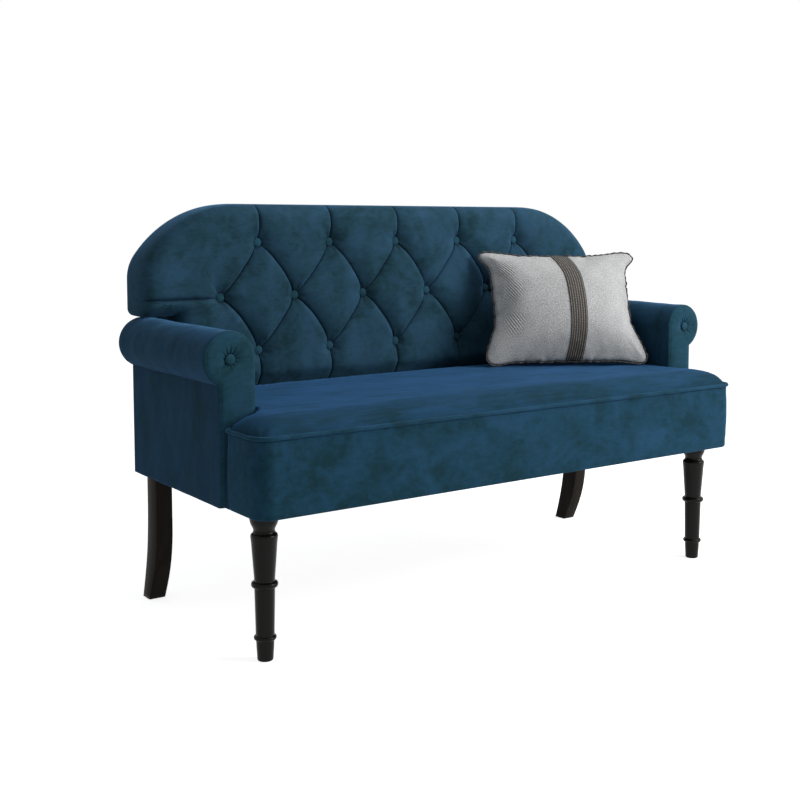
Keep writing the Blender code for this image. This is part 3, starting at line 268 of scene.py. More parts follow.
def ribbed_ribbon():
    """Ribbed ribbon with fine light stitches in upright rows; u runs across, v along."""
    ribs, stitches, picks = 7.0, 84.0, 174.0
    n = Nodes(bpy.data.materials.new("ribbed_ribbon"))
    u, v, _ = n.node("SeparateXYZ", 0, {0: n.space(output="UV")}).node.outputs
    rows = n.math("FRACT", n.math("MULTIPLY", u, ribs))
    line = n.math("LESS_THAN", n.math("ABSOLUTE", n.math("SUBTRACT", rows, 0.5)), 0.08)
    dash = n.math("GREATER_THAN", n.math("FRACT", n.math("MULTIPLY", v, stitches)), 0.35)
    stitch = n.math("MULTIPLY", line, dash)
    rib = n.math("SINE", n.math("MULTIPLY", rows, math.tau))
    cross = n.math("SINE", n.math("MULTIPLY", v, picks * math.tau))
    # Painted shade: the ground is darker in the hollows between the ribs and lighter on their crests.
    ground_with_painted_rib_shade = n.ramp(n.spread(rib, -1.0, 1.0), (0.0, (0.009, 0.007, 0.006)), (1.0, (0.030, 0.024, 0.020)))
    yarn = n.ramp(n.noise(900.0, 2.0, 0.6), (0.3, (0.016, 0.013, 0.011)), (0.7, (0.085, 0.072, 0.062)))
    colour = n.mix(stitch, n.mix(0.35, ground_with_painted_rib_shade, yarn), (0.34, 0.32, 0.285))
    n.set(Base_Color=colour, Roughness=0.62, Specular_IOR_Level=0.35)
    n.bump(n.total((rib, 0.5), (cross, 0.15), (stitch, 0.8)), 0.6, 0.0006)
    return n.owner


def grey_heather():
    """Salt-and-pepper cloth on the pillow's flat cut, with fine slanting ripples near the left seam."""
    n = Nodes(bpy.data.materials.new("grey_heather"))
    vector = n.space((1.0, 1.0, 1.0), output="UV")
    slubs = n.noise(330.0, 3.0, 0.7, 0.3, vector)
    flecks = n.noise(820.0, 2.0, 0.7, 0.0, n.space((1.0, 0.45, 1.0), output="UV"))
    soft = n.noise(24.0, 4.0, 0.6, 0.0, vector)
    threads = n.math("MULTIPLY", n.wave(260.0, "X", 0.5, vector), n.wave(260.0, "Y", 0.5, vector))
    tone = n.total((slubs, 0.52), (flecks, 0.36), (threads, 0.10), (soft, 0.10))
    slant = n.wave(50.0, "X", 1.6, n.space((1.0, 1.0, 1.0), math.radians(-42.0), "UV"))
    rippled = None
    for x, z, reach in ((-0.160, 0.092, 0.038), (-0.147, 0.032, 0.042), (-0.148, -0.052, 0.038)):
        away = n.node("VectorMath", "Value", {0: vector, 1: (x, z, 0.0)}, operation="DISTANCE")
        mask = n.spread(away, reach * 0.3, reach, 1.0, 0.0)
        rippled = n.math("MAXIMUM", rippled, mask) if rippled else mask
    ripples = n.math("MULTIPLY", n.math("SUBTRACT", slant, 0.45), rippled)
    tone = n.math("SUBTRACT", tone, n.math("MULTIPLY", ripples, 0.26))
    greys = (0.0, (0.140, 0.141, 0.144)), (0.45, (0.445, 0.446, 0.448)), (1.0, (0.790, 0.788, 0.782))
    n.set(Base_Color=n.ramp(n.spread(tone, 0.36, 0.70), *greys), Roughness=0.93)
    n.set(Sheen_Weight=0.15, Sheen_Roughness=0.5, Specular_IOR_Level=0.15)
    n.bump(n.math("SUBTRACT", n.total((slubs, 0.8), (flecks, 0.5)), ripples), 0.6, 0.001)
    return n.owner


VELVET = velvet("teal_velvet", (0.007, 0.033, 0.046), (0.0105, 0.048, 0.080), (0.016, 0.062, 0.118))
FACING_VELVET = velvet(
    "teal_velvet_facing", (0.0085, 0.038, 0.049), (0.0135, 0.055, 0.081), (0.019, 0.068, 0.115))
# Painted light: a lighter copy of the velvet for the buttons, standing in for the light their domes catch.
BUTTON_VELVET_PAINTED_LIGHT = velvet(
    "teal_velvet_button_painted_light", (0.010, 0.040, 0.053), (0.016, 0.062, 0.085), (0.023, 0.081, 0.123))
ARM_VELVET = velvet(
    "teal_velvet_arm", (0.0075, 0.030, 0.044), (0.011, 0.043, 0.076), (0.016, 0.056, 0.113),
    stretch=(1.2, 1.2, 0.60), run=(1.2, 1.2, 0.35), brushed=0.20)
# Painted light: a lighter copy of the velvet, raised further by painted_lift, that offsets the shade the seat
# and arms cast on the back.
BACK_VELVET_PAINTED_LIGHT = velvet(
    "teal_velvet_back_painted_light", (0.0095, 0.034, 0.045), (0.017, 0.055, 0.083), (0.025, 0.072, 0.123), painted_lift=0.02)
SEAT_VELVET = velvet(
    "teal_velvet_seat", (0.0075, 0.033, 0.048), (0.011, 0.047, 0.083), (0.016, 0.060, 0.125),
    stretch=(0.55, 1.4, 1.4), run=(0.10, 1.0, 1.6), brushed=0.24, sheen=0.32, tint=(0.12, 0.36, 0.95))
LEG = lacquer("black_satin_wood", (0.0036, 0.00324, 0.00288), (0.00792, 0.00666, 0.00576), 0.11)
# Painted light: the rear legs' base colour is about five times the front legs', to offset the shade under the
# seat; their gloss is nearly off.
REAR_LEG_PAINTED_LIGHT = lacquer("black_dull_wood_painted_light", (0.0184, 0.01656, 0.01472), (0.04048, 0.03404, 0.02944), 0.01)
WEAVE = grey_heather()
RIBBON = ribbed_ribbon()
TRIM = grained("taupe_trim", (0.007, 0.006, 0.0055), (0.024, 0.021, 0.019), 500.0, 0.60)
CAMBRIC = woven("black_cambric", (0.006, 0.006, 0.006), (0.022, 0.022, 0.023), 700.0, 0.95)
CAD_MATERIALS = {
    "velvet": VELVET, "leg_wood": LEG, "pillow_weave": WEAVE, "ribbon": RIBBON, "cambric": CAMBRIC,
    "frame_wood": frame_wood(),
    "fibre_board": grained("fibre_board", (0.26, 0.19, 0.115), (0.42, 0.31, 0.19), 300.0, 0.85),
    "foam": grained("cream_foam", (0.62, 0.54, 0.33), (0.80, 0.72, 0.50), 700.0, 0.95, bump=0.0012),
    "steel": grained("zinc_steel", (0.42, 0.43, 0.45), (0.62, 0.63, 0.65), 160.0, 0.34, 1.0, 0.0001),
    "webbing": woven("jute_webbing", (0.20, 0.14, 0.07), (0.48, 0.37, 0.21), 420.0, 0.92),
}


# Mesh helpers


def quarter_round(distance, radius):
    t = np.clip(np.asarray(distance, float) / radius, 0.0, 1.0)
    return np.sqrt(1.0 - (1.0 - t) ** 2)


def smooth_step(value):
    t = np.clip(value, 0.0, 1.0)
    return t * t * (3.0 - 2.0 * t)


def bell(distance, width):
    """1 at no distance, fading like a bell curve."""
    return np.exp(-((distance / width) ** 2))


def wobble(points, length, seed):
    """Smooth random waves about 'length' long, roughly -1 to 1, over 2-D or 3-D points."""
    rng = np.random.default_rng(seed)
    total = np.zeros(len(points))
    for _ in range(7):
        direction = rng.normal(size=3)
        direction /= np.linalg.norm(direction)
        wave = math.tau / length * rng.uniform(0.6, 1.5)
        total += np.sin(points @ direction[: points.shape[1]] * wave + rng.uniform(0, math.tau))
    return total / 3.2


def outward(loop):
    """Unit vectors at right angles to a closed loop of 2-D points, outwards when it runs anticlockwise."""
    along = np.roll(loop, -1, axis=0) - np.roll(loop, 1, axis=0)
    out = np.column_stack([along[:, 1], -along[:, 0]])
    return out / np.maximum(np.linalg.norm(out, axis=1), 1e-9)[:, None]


def mirrored(half):
    """A closed outline from its right half, which runs from the middle below to the middle above."""
    return np.vstack([half, half[-2:0:-1] * (-1, 1)])


class Skin:
    """A surface made row by row; each row of points is joined to the one before it."""

    def __init__(self, points=(), faces=(), closed=True):
        self.points, self.faces, self.rows = list(points), list(faces), []
        self.closed = closed

    def add(self, *places):
        """Adds a row from the x, y and z of its points; one number stands for the whole row."""
        first = len(self.points)
        self.points += zip(*(column.tolist() for column in np.broadcast_arrays(*places)))
        self.rows.append(range(first, len(self.points)))
        if len(self.rows) > 1:
            self.join(*self.rows[-2:])

    def join(self, low, high):
        count = len(low)
        for i in range(count if self.closed else count - 1):
            j = (i + 1) % count
            self.faces.append((low[i], low[j], high[j], high[i]))

    def point(self, place):
        """Adds a point and returns its number."""
        self.points.append(tuple(place))
        return len(self.points) - 1

    def fan(self, row, place):
        """Closes a row with triangles to one more point."""
        middle = self.point(place)
        self.faces += [(row[i], row[(i + 1) % len(row)], middle) for i in range(len(row))]

    def cap(self):
        """Closes both ends with flat faces."""
        self.faces += [tuple(self.rows[0]), tuple(self.rows[-1][::-1])]


def show(name, data):
    """Puts a mesh, a lamp or a camera into the scene."""
    obj = bpy.data.objects.new(name, data)
    bpy.context.scene.collection.objects.link(obj)
    return obj


def piece(name, skin, material=VELVET, replaces=(), body="settee", uvs=None, painted_shade=None,
          turn_out=True):
    """Makes a visible piece from a skin; its per-point painted shade darkens its velvet."""
    mesh = bpy.data.meshes.new(name)
    mesh.from_pydata([tuple(p) for p in skin.points], [], [tuple(f) for f in skin.faces])
    mesh.validate()
    # Painted shade: stored per point, for the velvet to darken its colour with.
    if painted_shade is not None:
        layer = mesh.attributes.new("painted_shade", "FLOAT", "POINT")
        layer.data.foreach_set("value", np.asarray(painted_shade, np.float32))
    if uvs is not None:
        layer = mesh.uv_layers.new(name="uv")
        corners = np.zeros(len(mesh.loops), np.int32)
        mesh.loops.foreach_get("vertex_index", corners)
        layer.data.foreach_set("uv", np.asarray(uvs, np.float32)[corners].ravel())
    mesh.shade_smooth()
    mesh.materials.append(material)
    obj = show(name, mesh)
    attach(obj, body)
    if replaces:
        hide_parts(*replaces)
    if turn_out:
        face_outwards(mesh)
    return obj


def face_outwards(mesh):
    bm = bmesh.new()
    bm.from_mesh(mesh)
    bmesh.ops.recalc_face_normals(bm, faces=bm.faces)
    bm.to_mesh(mesh)
    bm.free()


def arc_points(centre, radius, start, end, steps):
    angles = np.radians(np.linspace(start, end, steps + 1))
    return np.column_stack([centre[0] + radius * np.cos(angles), centre[1] + radius * np.sin(angles)])


def line_points(a, b, step, ends=(True, True)):
    count = max(1, round(math.dist(a, b) / step))
    t = np.linspace(0.0, 1.0, count + 1)
    t = t[0 if ends[0] else 1 : None if ends[1] else -1]
    return np.asarray(a) + t[:, None] * (np.asarray(b) - np.asarray(a))


def nearest(points, path):
    """Vector from the nearest point of a polyline to each 2-D point."""
    starts, along = path[:-1], path[1:] - path[:-1]
    length = np.maximum((along**2).sum(1), 1e-18)
    found = np.empty((len(points), 2))
    for i in range(0, len(points), 4000):
        away = points[i : i + 4000, None, :] - starts[None]
        t = np.clip((away * along).sum(2) / length, 0.0, 1.0)
        offset = away - t[..., None] * along
        best = (offset**2).sum(2).argmin(1)
        found[i : i + 4000] = offset[np.arange(len(best)), best]
    return found


# Seat


def seat_top(x, y):
    """Height of the crown over a width and a depth, inside the welt's notch."""
    x = np.abs(x)
    side = quarter_round(SEAT_HALF - NOTCH - x, CROWN_ROLL)
    front = quarter_round(y - NOTCH, CROWN_ROLL)
    rear = quarter_round(EAR_DEPTH - NOTCH - y, CROWN_ROLL_BACK)
    inward = smooth_step((x - BODY_HALF) / (SEAT_HALF - BODY_HALF) * 3.0)
    rear = np.where(x > BODY_HALF, 1.0 + (rear - 1.0) * inward, 1.0)
    middle = np.cos(math.pi / 2 * np.minimum(x / SEAT_HALF, 1.0))
    fall = smooth_step((y - SEAT_DEPTH + CROWN_FALL_LENGTH) / CROWN_FALL_LENGTH)
    rise = CROWN_RISE * side * front * rear + CROWN_MIDDLE * middle * front
    return WELT_Z + WELT_R + rise - CROWN_FALL * fall


def pressed(x, y):
    """How far the foam behind each ear is pushed back against the arm's post."""
    x = np.abs(x)
    beside = smooth_step((x - 0.540) / 0.030) * (1.0 - smooth_step((x - 0.600) / 0.035))
    return 0.0078 * beside * smooth_step(1.0 - np.abs(y - EAR_DEPTH) / 0.030)


def round_corner(x, y, corner, radius, turn=1):
    """Moves a square corner patch's rings onto quarter rings; turn is -1 at a low corner."""
    u = (x - corner[0] + radius) / radius
    v = (turn * (y - corner[1]) + radius) / radius
    ring = np.maximum(u, v) * radius
    with np.errstate(divide="ignore", invalid="ignore"):
        angle = math.pi / 4 * np.where(u >= v, v / u, 2 - u / v)
    inside = (u > 0) & (v > 0)
    round_x = corner[0] - radius + ring * np.cos(angle)
    round_y = corner[1] - turn * radius + turn * ring * np.sin(angle)
    return np.where(inside, round_x, x), np.where(inside, round_y, y)


def edge_lines(low, high, step, near_low=(), near_high=()):
    """Evenly spaced lines between two values, closer near the ends."""
    lines = [low, high] + [low + f for f in near_low] + [high - f for f in near_high]
    first = low + max(near_low, default=0.0)
    last = high - max(near_high, default=0.0)
    lines += list(np.linspace(first, last, max(2, round((last - first) / step))))
    return sorted(set(round(v, 6) for v in lines))


def cloth_grid(xs, ys, wanted):
    """Points and faces of a flat grid, where it is wanted at the corners and the middle."""
    numbers = {}
    for j, y in enumerate(ys):
        for i, x in enumerate(xs):
            if wanted(x, y, 1e-6):
                numbers[i, j] = len(numbers)
    faces = []
    for j in range(len(ys) - 1):
        for i in range(len(xs) - 1):
            corners = tuple(numbers.get(k) for k in ((i, j), (i + 1, j), (i + 1, j + 1), (i, j + 1)))
            if None not in corners and wanted((xs[i] + xs[i + 1]) / 2, (ys[j] + ys[j + 1]) / 2, 0.0):
                faces.append(corners)
    return np.array([(xs[i], ys[j]) for i, j in numbers]), faces


def make_seat_top():
    near = (0.0015, 0.003, NOTCH, 0.0075, 0.0105, 0.0145, 0.020, 0.027, EAR_FRONT_R, 0.045)
    ear_near = (0.0015, 0.003, NOTCH, 0.008, 0.011, EAR_BACK_R, 0.022)
    body_near = (0.001, 0.0025, NOTCH, 0.010)
    widths = edge_lines(0.0, BODY_HALF, 0.0085, (), body_near)
    widths += edge_lines(BODY_HALF, SEAT_HALF, 0.008, (), near)[1:]
    depths = edge_lines(0.0, EAR_DEPTH, 0.008, near, ear_near)
    depths += edge_lines(EAR_DEPTH, SEAT_DEPTH, 0.0085, (0.004,), body_near)[1:]
    xs = [-w for w in widths[:0:-1]] + widths
    flat, faces = cloth_grid(
        xs, depths, lambda x, y, slack: y <= EAR_DEPTH + slack or abs(x) <= BODY_HALF + slack)
    x, y = np.abs(flat[:, 0]), flat[:, 1]
    mapped = round_corner(x, y, (SEAT_HALF, 0.0), EAR_FRONT_R, -1)
    mapped = np.column_stack(round_corner(*mapped, (SEAT_HALF, EAR_DEPTH), EAR_BACK_R))
    mapped[:, 0] *= np.where(flat[:, 0] < 0, -1, 1)
    edge = np.minimum(np.minimum(SEAT_HALF - x, y), SEAT_DEPTH - y)
    edge = np.where((x > BODY_HALF - 1e-6) & (y > 0.02), np.minimum(edge, EAR_DEPTH - y), edge)
    edge = np.where(y > EAR_DEPTH - 1e-6, np.minimum(edge, BODY_HALF - x), edge)
    sink = quarter_round(edge, NOTCH)
    behind = (x > BODY_HALF - 1e-6) & (y <= EAR_DEPTH + 1e-6) & (EAR_DEPTH - y < np.minimum(SEAT_HALF - x, y))
    sink = np.where(behind, 1.0 - (1.0 - sink) * smooth_step((x - BODY_HALF - 0.010) / 0.030), sink)
    mapped[:, 1] += pressed(x, y)
    low = WELT_Z - WELT_R
    points = np.column_stack([mapped[:, 0], mapped[:, 1] + FRONT, low + (seat_top(x, y) - low) * sink])
    soft = quarter_round(edge - NOTCH, 0.05)
    points[:, 2] += 0.0009 * soft * wobble(points, 0.16, 3) + 0.0004 * soft * wobble(points, 0.05, 4)
    pucker = np.sin(mapped[:, 0] * math.tau / 0.021 + 2.0 * np.sin(mapped[:, 0] * 31.0))
    points[:, 2] += 0.00035 * pucker * np.exp(-np.maximum(edge - NOTCH, 0) / 0.010) * (edge > NOTCH)
    top = piece("seat_top_velvet", Skin(points, faces), SEAT_VELVET, ("seat_cover",), turn_out=False)


def ear_outline(out, step, side_step, turn, turn_steps):
    """The T's right front, set outwards: from the middle, round the ear, to its rear corner."""
    front = (SEAT_HALF - EAR_FRONT_R, EAR_FRONT_R)
    rear = (SEAT_HALF - EAR_BACK_R, EAR_DEPTH - EAR_BACK_R)
    return np.vstack([
        line_points((0.0, -out), (front[0], -out), step, (True, False)),
        arc_points(front, EAR_FRONT_R + out, -90, 0, 14),
        line_points((SEAT_HALF + out, front[1]), (SEAT_HALF + out, rear[1]), side_step, (False, False)),
        arc_points(rear, EAR_BACK_R + out, 0, turn, turn_steps),
    ])


def seat_outline(step=0.006):
    """The T's outline seen from above, anticlockwise from the middle of its front."""
    right = np.vstack([
        ear_outline(0.0, step, step, 90, 8),
        line_points((SEAT_HALF - EAR_BACK_R, EAR_DEPTH), (BODY_HALF, EAR_DEPTH), step, (False, True)),
        line_points((BODY_HALF, EAR_DEPTH), (BODY_HALF, SEAT_DEPTH), step * 2, (False, True)),
        line_points((BODY_HALF, SEAT_DEPTH), (0.0, SEAT_DEPTH), step * 2, (False, True)),
    ])
    return np.vstack([right[1:], right[-2:0:-1] * (-1, 1), right[:1]])


def make_seat_border():
    """The band under the welt, turned under at the bottom."""
    outline = seat_outline()
    normal = outward(outline)
    travelled = np.cumsum(np.linalg.norm(outline - np.roll(outline, 1, axis=0), axis=1))
    hidden = (np.abs(outline[:, 0]) < BODY_HALF + 1e-6) & (outline[:, 1] > EAR_DEPTH + 1e-6)
    top, bottom = WELT_Z - WELT_R, np.where(hidden, TUCK_Z, SEAT_BOTTOM)
    skin = Skin()

    def add_row(out, z):
        moved = outline + normal * np.reshape(out, (-1, 1))
        moved[:, 1] += FRONT + pressed(*outline.T) * smooth_step((z - 0.380) / 0.050)
        skin.add(*moved.T, z)

    for down in (0.0, 0.004, 0.010):
        gather = 0.0005 * np.sin(travelled * math.tau / 0.019 + 2.0 * np.sin(travelled * 23.0))
        add_row(np.where(hidden, 0.0, 0.0004 + gather * down / 0.010), top - down)
    for share in (0.12, 0.22, 0.34, 0.46, 0.58, 0.70, 0.80, 0.88):
        z = top + (bottom - top) * share
        place = np.column_stack([outline, z])
        swell = 0.0021 * math.sin(math.pi * min(share * 1.15, 1.0)) ** 0.7
        drift = 0.0007 * wobble(place, 0.11, 8) + 0.0003 * wobble(place, 0.035, 9)
        gather = 0.0004 * np.sin(travelled * math.tau / 0.019) * math.exp(-share * 6)
        add_row(np.where(hidden, 0.0, swell + drift + gather), z)
    turn = 0.0045
    for angle in (0, 30, 60, 90):
        a = math.radians(angle)
        add_row(-turn * (1 - math.cos(a)), bottom + turn * (1 - math.sin(a)))
    add_row(-0.014, bottom + 0.0002)
    border = piece("seat_border_velvet", skin)


def make_rail_wrap(name, side):
    """Velvet lapped over the seat's side rail where it crosses from the seat to the arm."""
    low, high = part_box(f"seat_side_rail_{name}")
    left, right = sorted((side * (min(abs(low.x), abs(high.x)) - 0.0006), side * (SEAT_HALF - 0.0035)))
    under, over = SEAT_BOTTOM - 0.0002, high.z + 0.0012
    skin = Skin()
    for share in np.linspace(0.0, 1.0, 5):
        y = FRONT + EAR_DEPTH - 0.003 + share * (ARM_FRONT - EAR_DEPTH + 0.006)
        sag = 0.0006 * math.sin(math.pi * share)
        ring = [(left + sag, under), (right - sag, under), (right - sag, over - 0.002)]
        ring += [(right - 0.002, over - sag), (left + 0.002, over - sag), (left + sag, over - 0.002)]
        x, z = np.transpose(ring)
        skin.add(x, y, z)
    skin.cap()
    # Painted shade: the whole wrap is darkened, as the shade in the gap between the seat's ear and the arm.
    piece(f"rail_wrap_{name}", skin, painted_shade=[0.45] * len(skin.points))


def make_welt():
    """Cord sewn between crown and border, over the front and both short returns."""
    sides = 14
    slope = math.hypot(2 * WELT_R, NOTCH)
    offset = (WELT_R + 0.0003) * 2 * WELT_R / slope - NOTCH / 2
    lift = (WELT_R + 0.0003) * NOTCH / slope
    right = ear_outline(offset, 0.008, 0.007, 84, 9)
    flat = np.vstack([right[:0:-1] * (-1, 1), right]) + (0.0, FRONT)
    path = np.column_stack([flat, WELT_Z + lift + 0.0003 * np.sin(np.arange(len(flat)) * 0.9)])
    tangent = np.gradient(path, axis=0)
    tangent /= np.linalg.norm(tangent, axis=1)[:, None]
    across = np.cross(tangent, (0.0, 0.0, 1.0))
    across /= np.linalg.norm(across, axis=1)[:, None]
    up = np.cross(across, tangent)
    angles = np.arange(sides)[:, None] * math.tau / sides
    skin = Skin()
    for i, point in enumerate(path):
        radius = WELT_R * (0.6 if i in (0, len(path) - 1) else 1.0)
        skin.add(*(point + radius * (np.cos(angles) * across[i] + np.sin(angles) * up[i])).T)
    skin.cap()
    piece("seat_welt_cord", skin, VELVET, ("seat_welt",))


def make_dust_cover():
    """Black cambric stapled under the frame, a hem short of its edges and cut in at the four legs."""
    hem = 0.006
    narrow, wide = 0.5725 - hem, ARM_OUTER - hem
    front, rear = 0.0040 + hem, 0.5687 - hem
    wide_from, wide_to = ARM_FRONT + hem, 0.4980 - hem
    xs = edge_lines(-wide, wide, 0.012, (wide - narrow,), (wide - narrow,))
    ys = edge_lines(front, rear, 0.012, (wide_from - front,), (rear - wide_to,))
    flat, faces = cloth_grid(xs, ys, lambda x, y, slack: (
        abs(x) <= narrow + slack or wide_from - slack <= y <= wide_to + slack))
    x, y = np.abs(flat[:, 0]), flat[:, 1]
    by_leg = (y < wide_from + 0.02) | (y > wide_to - 0.02)
    rim = np.minimum(np.minimum(y - front, rear - y), wide - x)
    rim = np.maximum(np.minimum(rim, np.where(by_leg, np.abs(narrow - x), 1.0)), 0.0)
    sag = 0.0016 * smooth_step(rim / 0.14) * (1.0 + 0.3 * wobble(flat, 0.19, 51))
    pulls = 0.0004 * np.cos(flat.sum(1) * math.tau / 0.038) * np.exp(-rim / 0.014)
    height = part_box("dust_cover")[0].z + 0.0006 - sag + pulls
    points = np.column_stack([flat + (0.0, FRONT), height])
    skin = Skin(points, [face[::-1] for face in faces])
    cover = piece("dust_cover_cambric", skin, CAMBRIC, ("dust_cover",), turn_out=False)


# Back


# The side of a pleat that laps over the other.
FALLING, RISING, UPRIGHT = (-1.0, -1.0), (-1.0, 1.0), (-1.0, 0.0)
CELL_RINGS = (0.990, 0.975, 0.955, 0.930, 0.900, 0.862, 0.82, 0.77, 0.71, 0.64, 0.55, 0.45, 0.34, 0.22, 0.10)


def tuft_buttons():
    """Name, width and height of each button in the rows of five, six and five."""
    places = []
    for row, count, label in ((1, 5, "top"), (0, 6, "middle"), (-1, 5, "low")):
        for i in range(count):
            x = (i - (count - 1) / 2) * BUTTON_SPACING
            places.append((f"{label}_{i + 1}", x, MIDDLE_ROW_Z + row * BUTTON_ROW))
    return places


def back_outline(inset=0.0, bottom=BACK_BOTTOM, step=0.0045):
    """The back's closed outline, anticlockwise from the bottom's middle."""
    centre_z = BACK_TOP - SHOULDER_R
    fillet_x = BACK_HALF - SHOULDER_FILLET
    rise = math.sqrt((SHOULDER_R - SHOULDER_FILLET) ** 2 - (fillet_x - SHOULDER_X) ** 2)
    fillet_z, angle = centre_z + rise, math.degrees(math.atan2(rise, fillet_x - SHOULDER_X))
    side, out, bottom = BODY_HALF - inset, BACK_HALF - inset, bottom + inset
    under, low = WING_BOTTOM + inset, max(WING_R, inset + 0.001)
    return mirrored(np.vstack([
        line_points((0.0, bottom), (side, bottom), step, (True, False)),
        line_points((side, bottom), (side, under), step, (True, False)),
        line_points((side, under), (BACK_HALF - low, under), step, (True, False)),
        arc_points((BACK_HALF - low, WING_BOTTOM + low), low - inset, -90, 0, 7),
        line_points((out, WING_BOTTOM + low), (out, fillet_z), step, (False, False)),
        arc_points((fillet_x, fillet_z), SHOULDER_FILLET - inset, 0, angle, 16),
        arc_points((SHOULDER_X, centre_z), SHOULDER_R - inset, angle, 90, 60)[1:],
        line_points((SHOULDER_X, BACK_TOP - inset), (0.0, BACK_TOP - inset), step, (False, True)),
    ]))


def bowed(start, end, sag, steps=36):
    """A pleat from one button to the next; a positive sag bows it to the right."""
    start, run = np.asarray(start, float), np.subtract(end, start)
    t = np.linspace(0.0, 1.0, steps + 1)[:, None]
    across = np.array([-run[1], run[0]]) / math.hypot(*run)
    across *= math.copysign(1.0, across[0])
    return start + t * run + sag * 4.0 * t * (1.0 - t) * across


def pleat_lines():
    """Every pleat as its path, the side that laps over and the widths of both roll-offs."""
    s, r, m = BUTTON_SPACING, BUTTON_ROW, MIDDLE_ROW_Z
    pleats = {}
    for i in range(5):
        x = (i - 2) * s
        for kind, z, fall in (("up", m + r, 1), ("down", m - r, -1)):
            pleats[kind, i, fall] = (bowed((x, z), (x + fall * s / 2, m), 0.011), FALLING, 0.022, 0.060)
            pleats[kind, i, -fall] = (bowed((x, z), (x - fall * s / 2, m), 0.005), RISING, 0.034, 0.055)
        pleats["top", i, 0] = (bowed((x, m + r), (x, BACK_TOP), 0.0025, 24), UPRIGHT, 0.028, 0.045)
        pleats["foot", i, 0] = (bowed((x, m - r), (x, BACK_BOTTOM), 0.003, 26), UPRIGHT, 0.028, 0.045)
    for side in (-1, 1):
        path = bowed((side * 2.5 * s, m), (side * BACK_HALF, m), 0.0, 44)
        pleats["side", 0, side] = (path, (0.0, 1.0), 0.012, 0.016)
    return pleats


def outline_between(start, end):
    """Points of the back's outline from one point on it to another, anticlockwise."""
    whole = back_outline()
    first, last = (int(np.argmin(np.hypot(*(whole - point).T))) for point in (start, end))
    run = np.roll(whole, -first, axis=0)[: (last - first) % len(whole) + 1]
    run = [p for p in run if min(math.dist(p, start), math.dist(p, end)) > 0.0018]
    return np.vstack([[start], *([run] if run else []), [end]])


def back_cells(pleats):
    """Boundary and centre of each puff, anticlockwise, from shared pleat points."""
    s, r, m = BUTTON_SPACING, BUTTON_ROW, MIDDLE_ROW_Z

    def along(kind, i, side):
        return pleats[kind, i, side][0]

    def against(kind, i, side):
        return along(kind, i, side)[::-1]

    cells = []
    for i in range(5):
        diamond = against("down", i, -1), along("down", i, 1), against("up", i, 1), along("up", i, -1)
        cells.append((diamond, ((i - 2) * s, m)))
    for i in range(4):
        x = (i - 1.5) * s
        top = outline_between((x + s / 2, BACK_TOP), (x - s / 2, BACK_TOP))
        upper = against("up", i + 1, -1), along("top", i + 1, 0), top, against("top", i, 0), along("up", i, 1)
        foot = outline_between((x - s / 2, BACK_BOTTOM), (x + s / 2, BACK_BOTTOM))
        lower = against("down", i, 1), along("foot", i, 0), foot
        lower += against("foot", i + 1, 0), along("down", i + 1, -1)
        cells += [(upper, (x, m + 0.95 * r)), (lower, (x, m - 0.92 * r))]
    ends = (BACK_HALF, m), (2 * s, BACK_TOP), (2 * s, BACK_BOTTOM)
    right, top, foot = ends
    over, under = outline_between(right, top), outline_between(foot, right)
    upper = along("side", 0, 1), over, against("top", 4, 0), along("up", 4, 1)
    lower = against("down", 4, 1), along("foot", 4, 0), under, against("side", 0, 1)
    cells += [(upper, (0.52, 0.735)), (lower, (0.535, 0.644))]
    left, top, foot = ((-x, z) for x, z in ends)
    over, under = outline_between(top, left), outline_between(left, foot)
    upper = over, against("side", 0, -1), against("up", 0, -1), along("top", 0, 0)
    lower = under, against("foot", 0, 0), along("down", 0, -1), along("side", 0, -1)
    cells += [(upper, (-0.52, 0.735)), (lower, (-0.535, 0.644))]
    return [(np.vstack([part[:-1] for part in parts]), centre) for parts, centre in cells]


